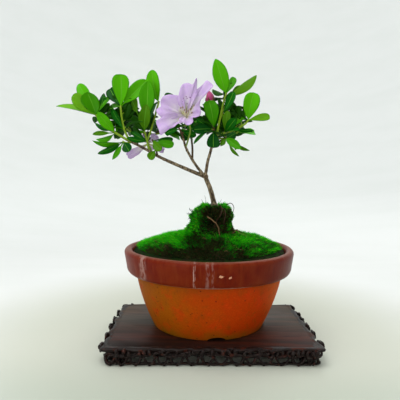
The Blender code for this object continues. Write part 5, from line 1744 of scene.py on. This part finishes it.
def make_lights(settings):
    """Light from all round and three large soft lamps."""
    world = bpy.data.worlds.new("daylight")
    world.use_nodes = True
    sky = world.node_tree.nodes["Background"]
    sky.inputs["Color"].default_value = (*display(0.96, 0.985, 0.98), 1)
    sky.inputs["Strength"].default_value = settings.daylight
    bpy.context.scene.world = world
    for name, spot, size, share in LAMPS:
        lamp = bpy.data.lights.new(name, "AREA")
        lamp.shape, lamp.size, lamp.energy = "DISK", size * MM, settings.lamp_power * share
        holder = bpy.data.objects.new(name, lamp)
        holder.location = place(spot)
        aim = place((0, 0, 110)) - holder.location
        holder.rotation_euler = aim.to_track_quat("-Z", "Y").to_euler()
        bpy.context.scene.collection.objects.link(holder)


# Operators, one for each piece or group of like pieces


class BONSAI_OT_stage(bpy.types.Operator):
    """Adds the floor, the lights and the camera."""

    bl_idname, bl_label = "bonsai.stage", "Stage"

    def execute(self, context):
        make_floor(context.scene.bonsai_stage)
        make_lights(context.scene.bonsai_stage)
        make_camera()
        context.scene.view_settings.view_transform = "Standard"
        return {"FINISHED"}


class BONSAI_OT_stand(bpy.types.Operator):
    """Builds the polished board and the carved roots of the stand."""

    bl_idname, bl_label = "bonsai.stand", "Stand"

    def execute(self, context):
        make_board(context.scene.bonsai_stand)
        make_carving(context.scene.bonsai_stand)
        return {"FINISHED"}


class BONSAI_OT_pot(bpy.types.Operator):
    """Builds the clay pot with its glazed rim and finishes the soil."""

    bl_idname, bl_label = "bonsai.pot", "Pot"

    def execute(self, context):
        make_pot(context.scene.bonsai_pot)
        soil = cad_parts["soil"]
        soil.data.materials.clear()
        soil.data.materials.append(soil_finish())
        return {"FINISHED"}


class BONSAI_OT_moss(bpy.types.Operator):
    """Plants the moss and lays the loose roots on it."""

    bl_idname, bl_label = "bonsai.moss", "Moss"

    def execute(self, context):
        make_ground(context.scene.bonsai_moss)
        make_tufts(context.scene.bonsai_moss)
        make_strays()
        return {"FINISHED"}


class BONSAI_OT_limbs(bpy.types.Operator):
    """Grows the trunk and boughs with their bark."""

    bl_idname, bl_label = "bonsai.limbs", "Trunk and boughs"

    def execute(self, context):
        make_limbs()
        return {"FINISHED"}


class BONSAI_OT_foliage(bpy.types.Operator):
    """Grows the twigs and leaves."""

    bl_idname, bl_label = "bonsai.foliage", "Foliage"

    def execute(self, context):
        make_foliage(context.scene.bonsai_foliage)
        return {"FINISHED"}


class BONSAI_OT_blossom(bpy.types.Operator):
    """Opens the blossoms and adds the closed bud."""

    bl_idname, bl_label = "bonsai.blossom", "Blossom"

    def execute(self, context):
        make_blossom(context.scene.bonsai_blossom)
        return {"FINISHED"}


GROUPS = (("stage", StageSettings), ("stand", StandSettings), ("pot", PotSettings), ("moss", MossSettings),
          ("foliage", FoliageSettings), ("blossom", BlossomSettings))
OPERATORS = (BONSAI_OT_stage, BONSAI_OT_stand, BONSAI_OT_pot, BONSAI_OT_moss, BONSAI_OT_limbs,
             BONSAI_OT_foliage, BONSAI_OT_blossom)


class BONSAI_PT_panel(bpy.types.Panel):
    """Lists the bonsai's pieces with their settings."""

    bl_idname, bl_label = "BONSAI_PT_panel", "Bonsai"
    bl_space_type, bl_region_type, bl_category = "VIEW_3D", "UI", "Bonsai"

    def draw(self, context):
        for operator in OPERATORS:
            self.layout.operator(operator.bl_idname)
            settings = getattr(context.scene, operator.bl_idname.replace(".", "_"), None)
            for key in settings.__annotations__ if settings else ():
                self.layout.prop(settings, key)


def register():
    for name, group in GROUPS:
        bpy.utils.register_class(group)
        setattr(bpy.types.Scene, f"bonsai_{name}", PointerProperty(type=group))
    for thing in (*OPERATORS, BONSAI_PT_panel):
        bpy.utils.register_class(thing)


def unregister():
    for thing in reversed((*OPERATORS, BONSAI_PT_panel)):
        bpy.utils.unregister_class(thing)
    for name, group in reversed(GROUPS):
        delattr(bpy.types.Scene, f"bonsai_{name}")
        bpy.utils.unregister_class(group)


def main():
    register()
    for step in (bpy.ops.bonsai.stage, bpy.ops.bonsai.stand, bpy.ops.bonsai.pot, bpy.ops.bonsai.moss,
                 bpy.ops.bonsai.limbs, bpy.ops.bonsai.foliage, bpy.ops.bonsai.blossom):
        step()


if __name__ == "__main__":
    main()
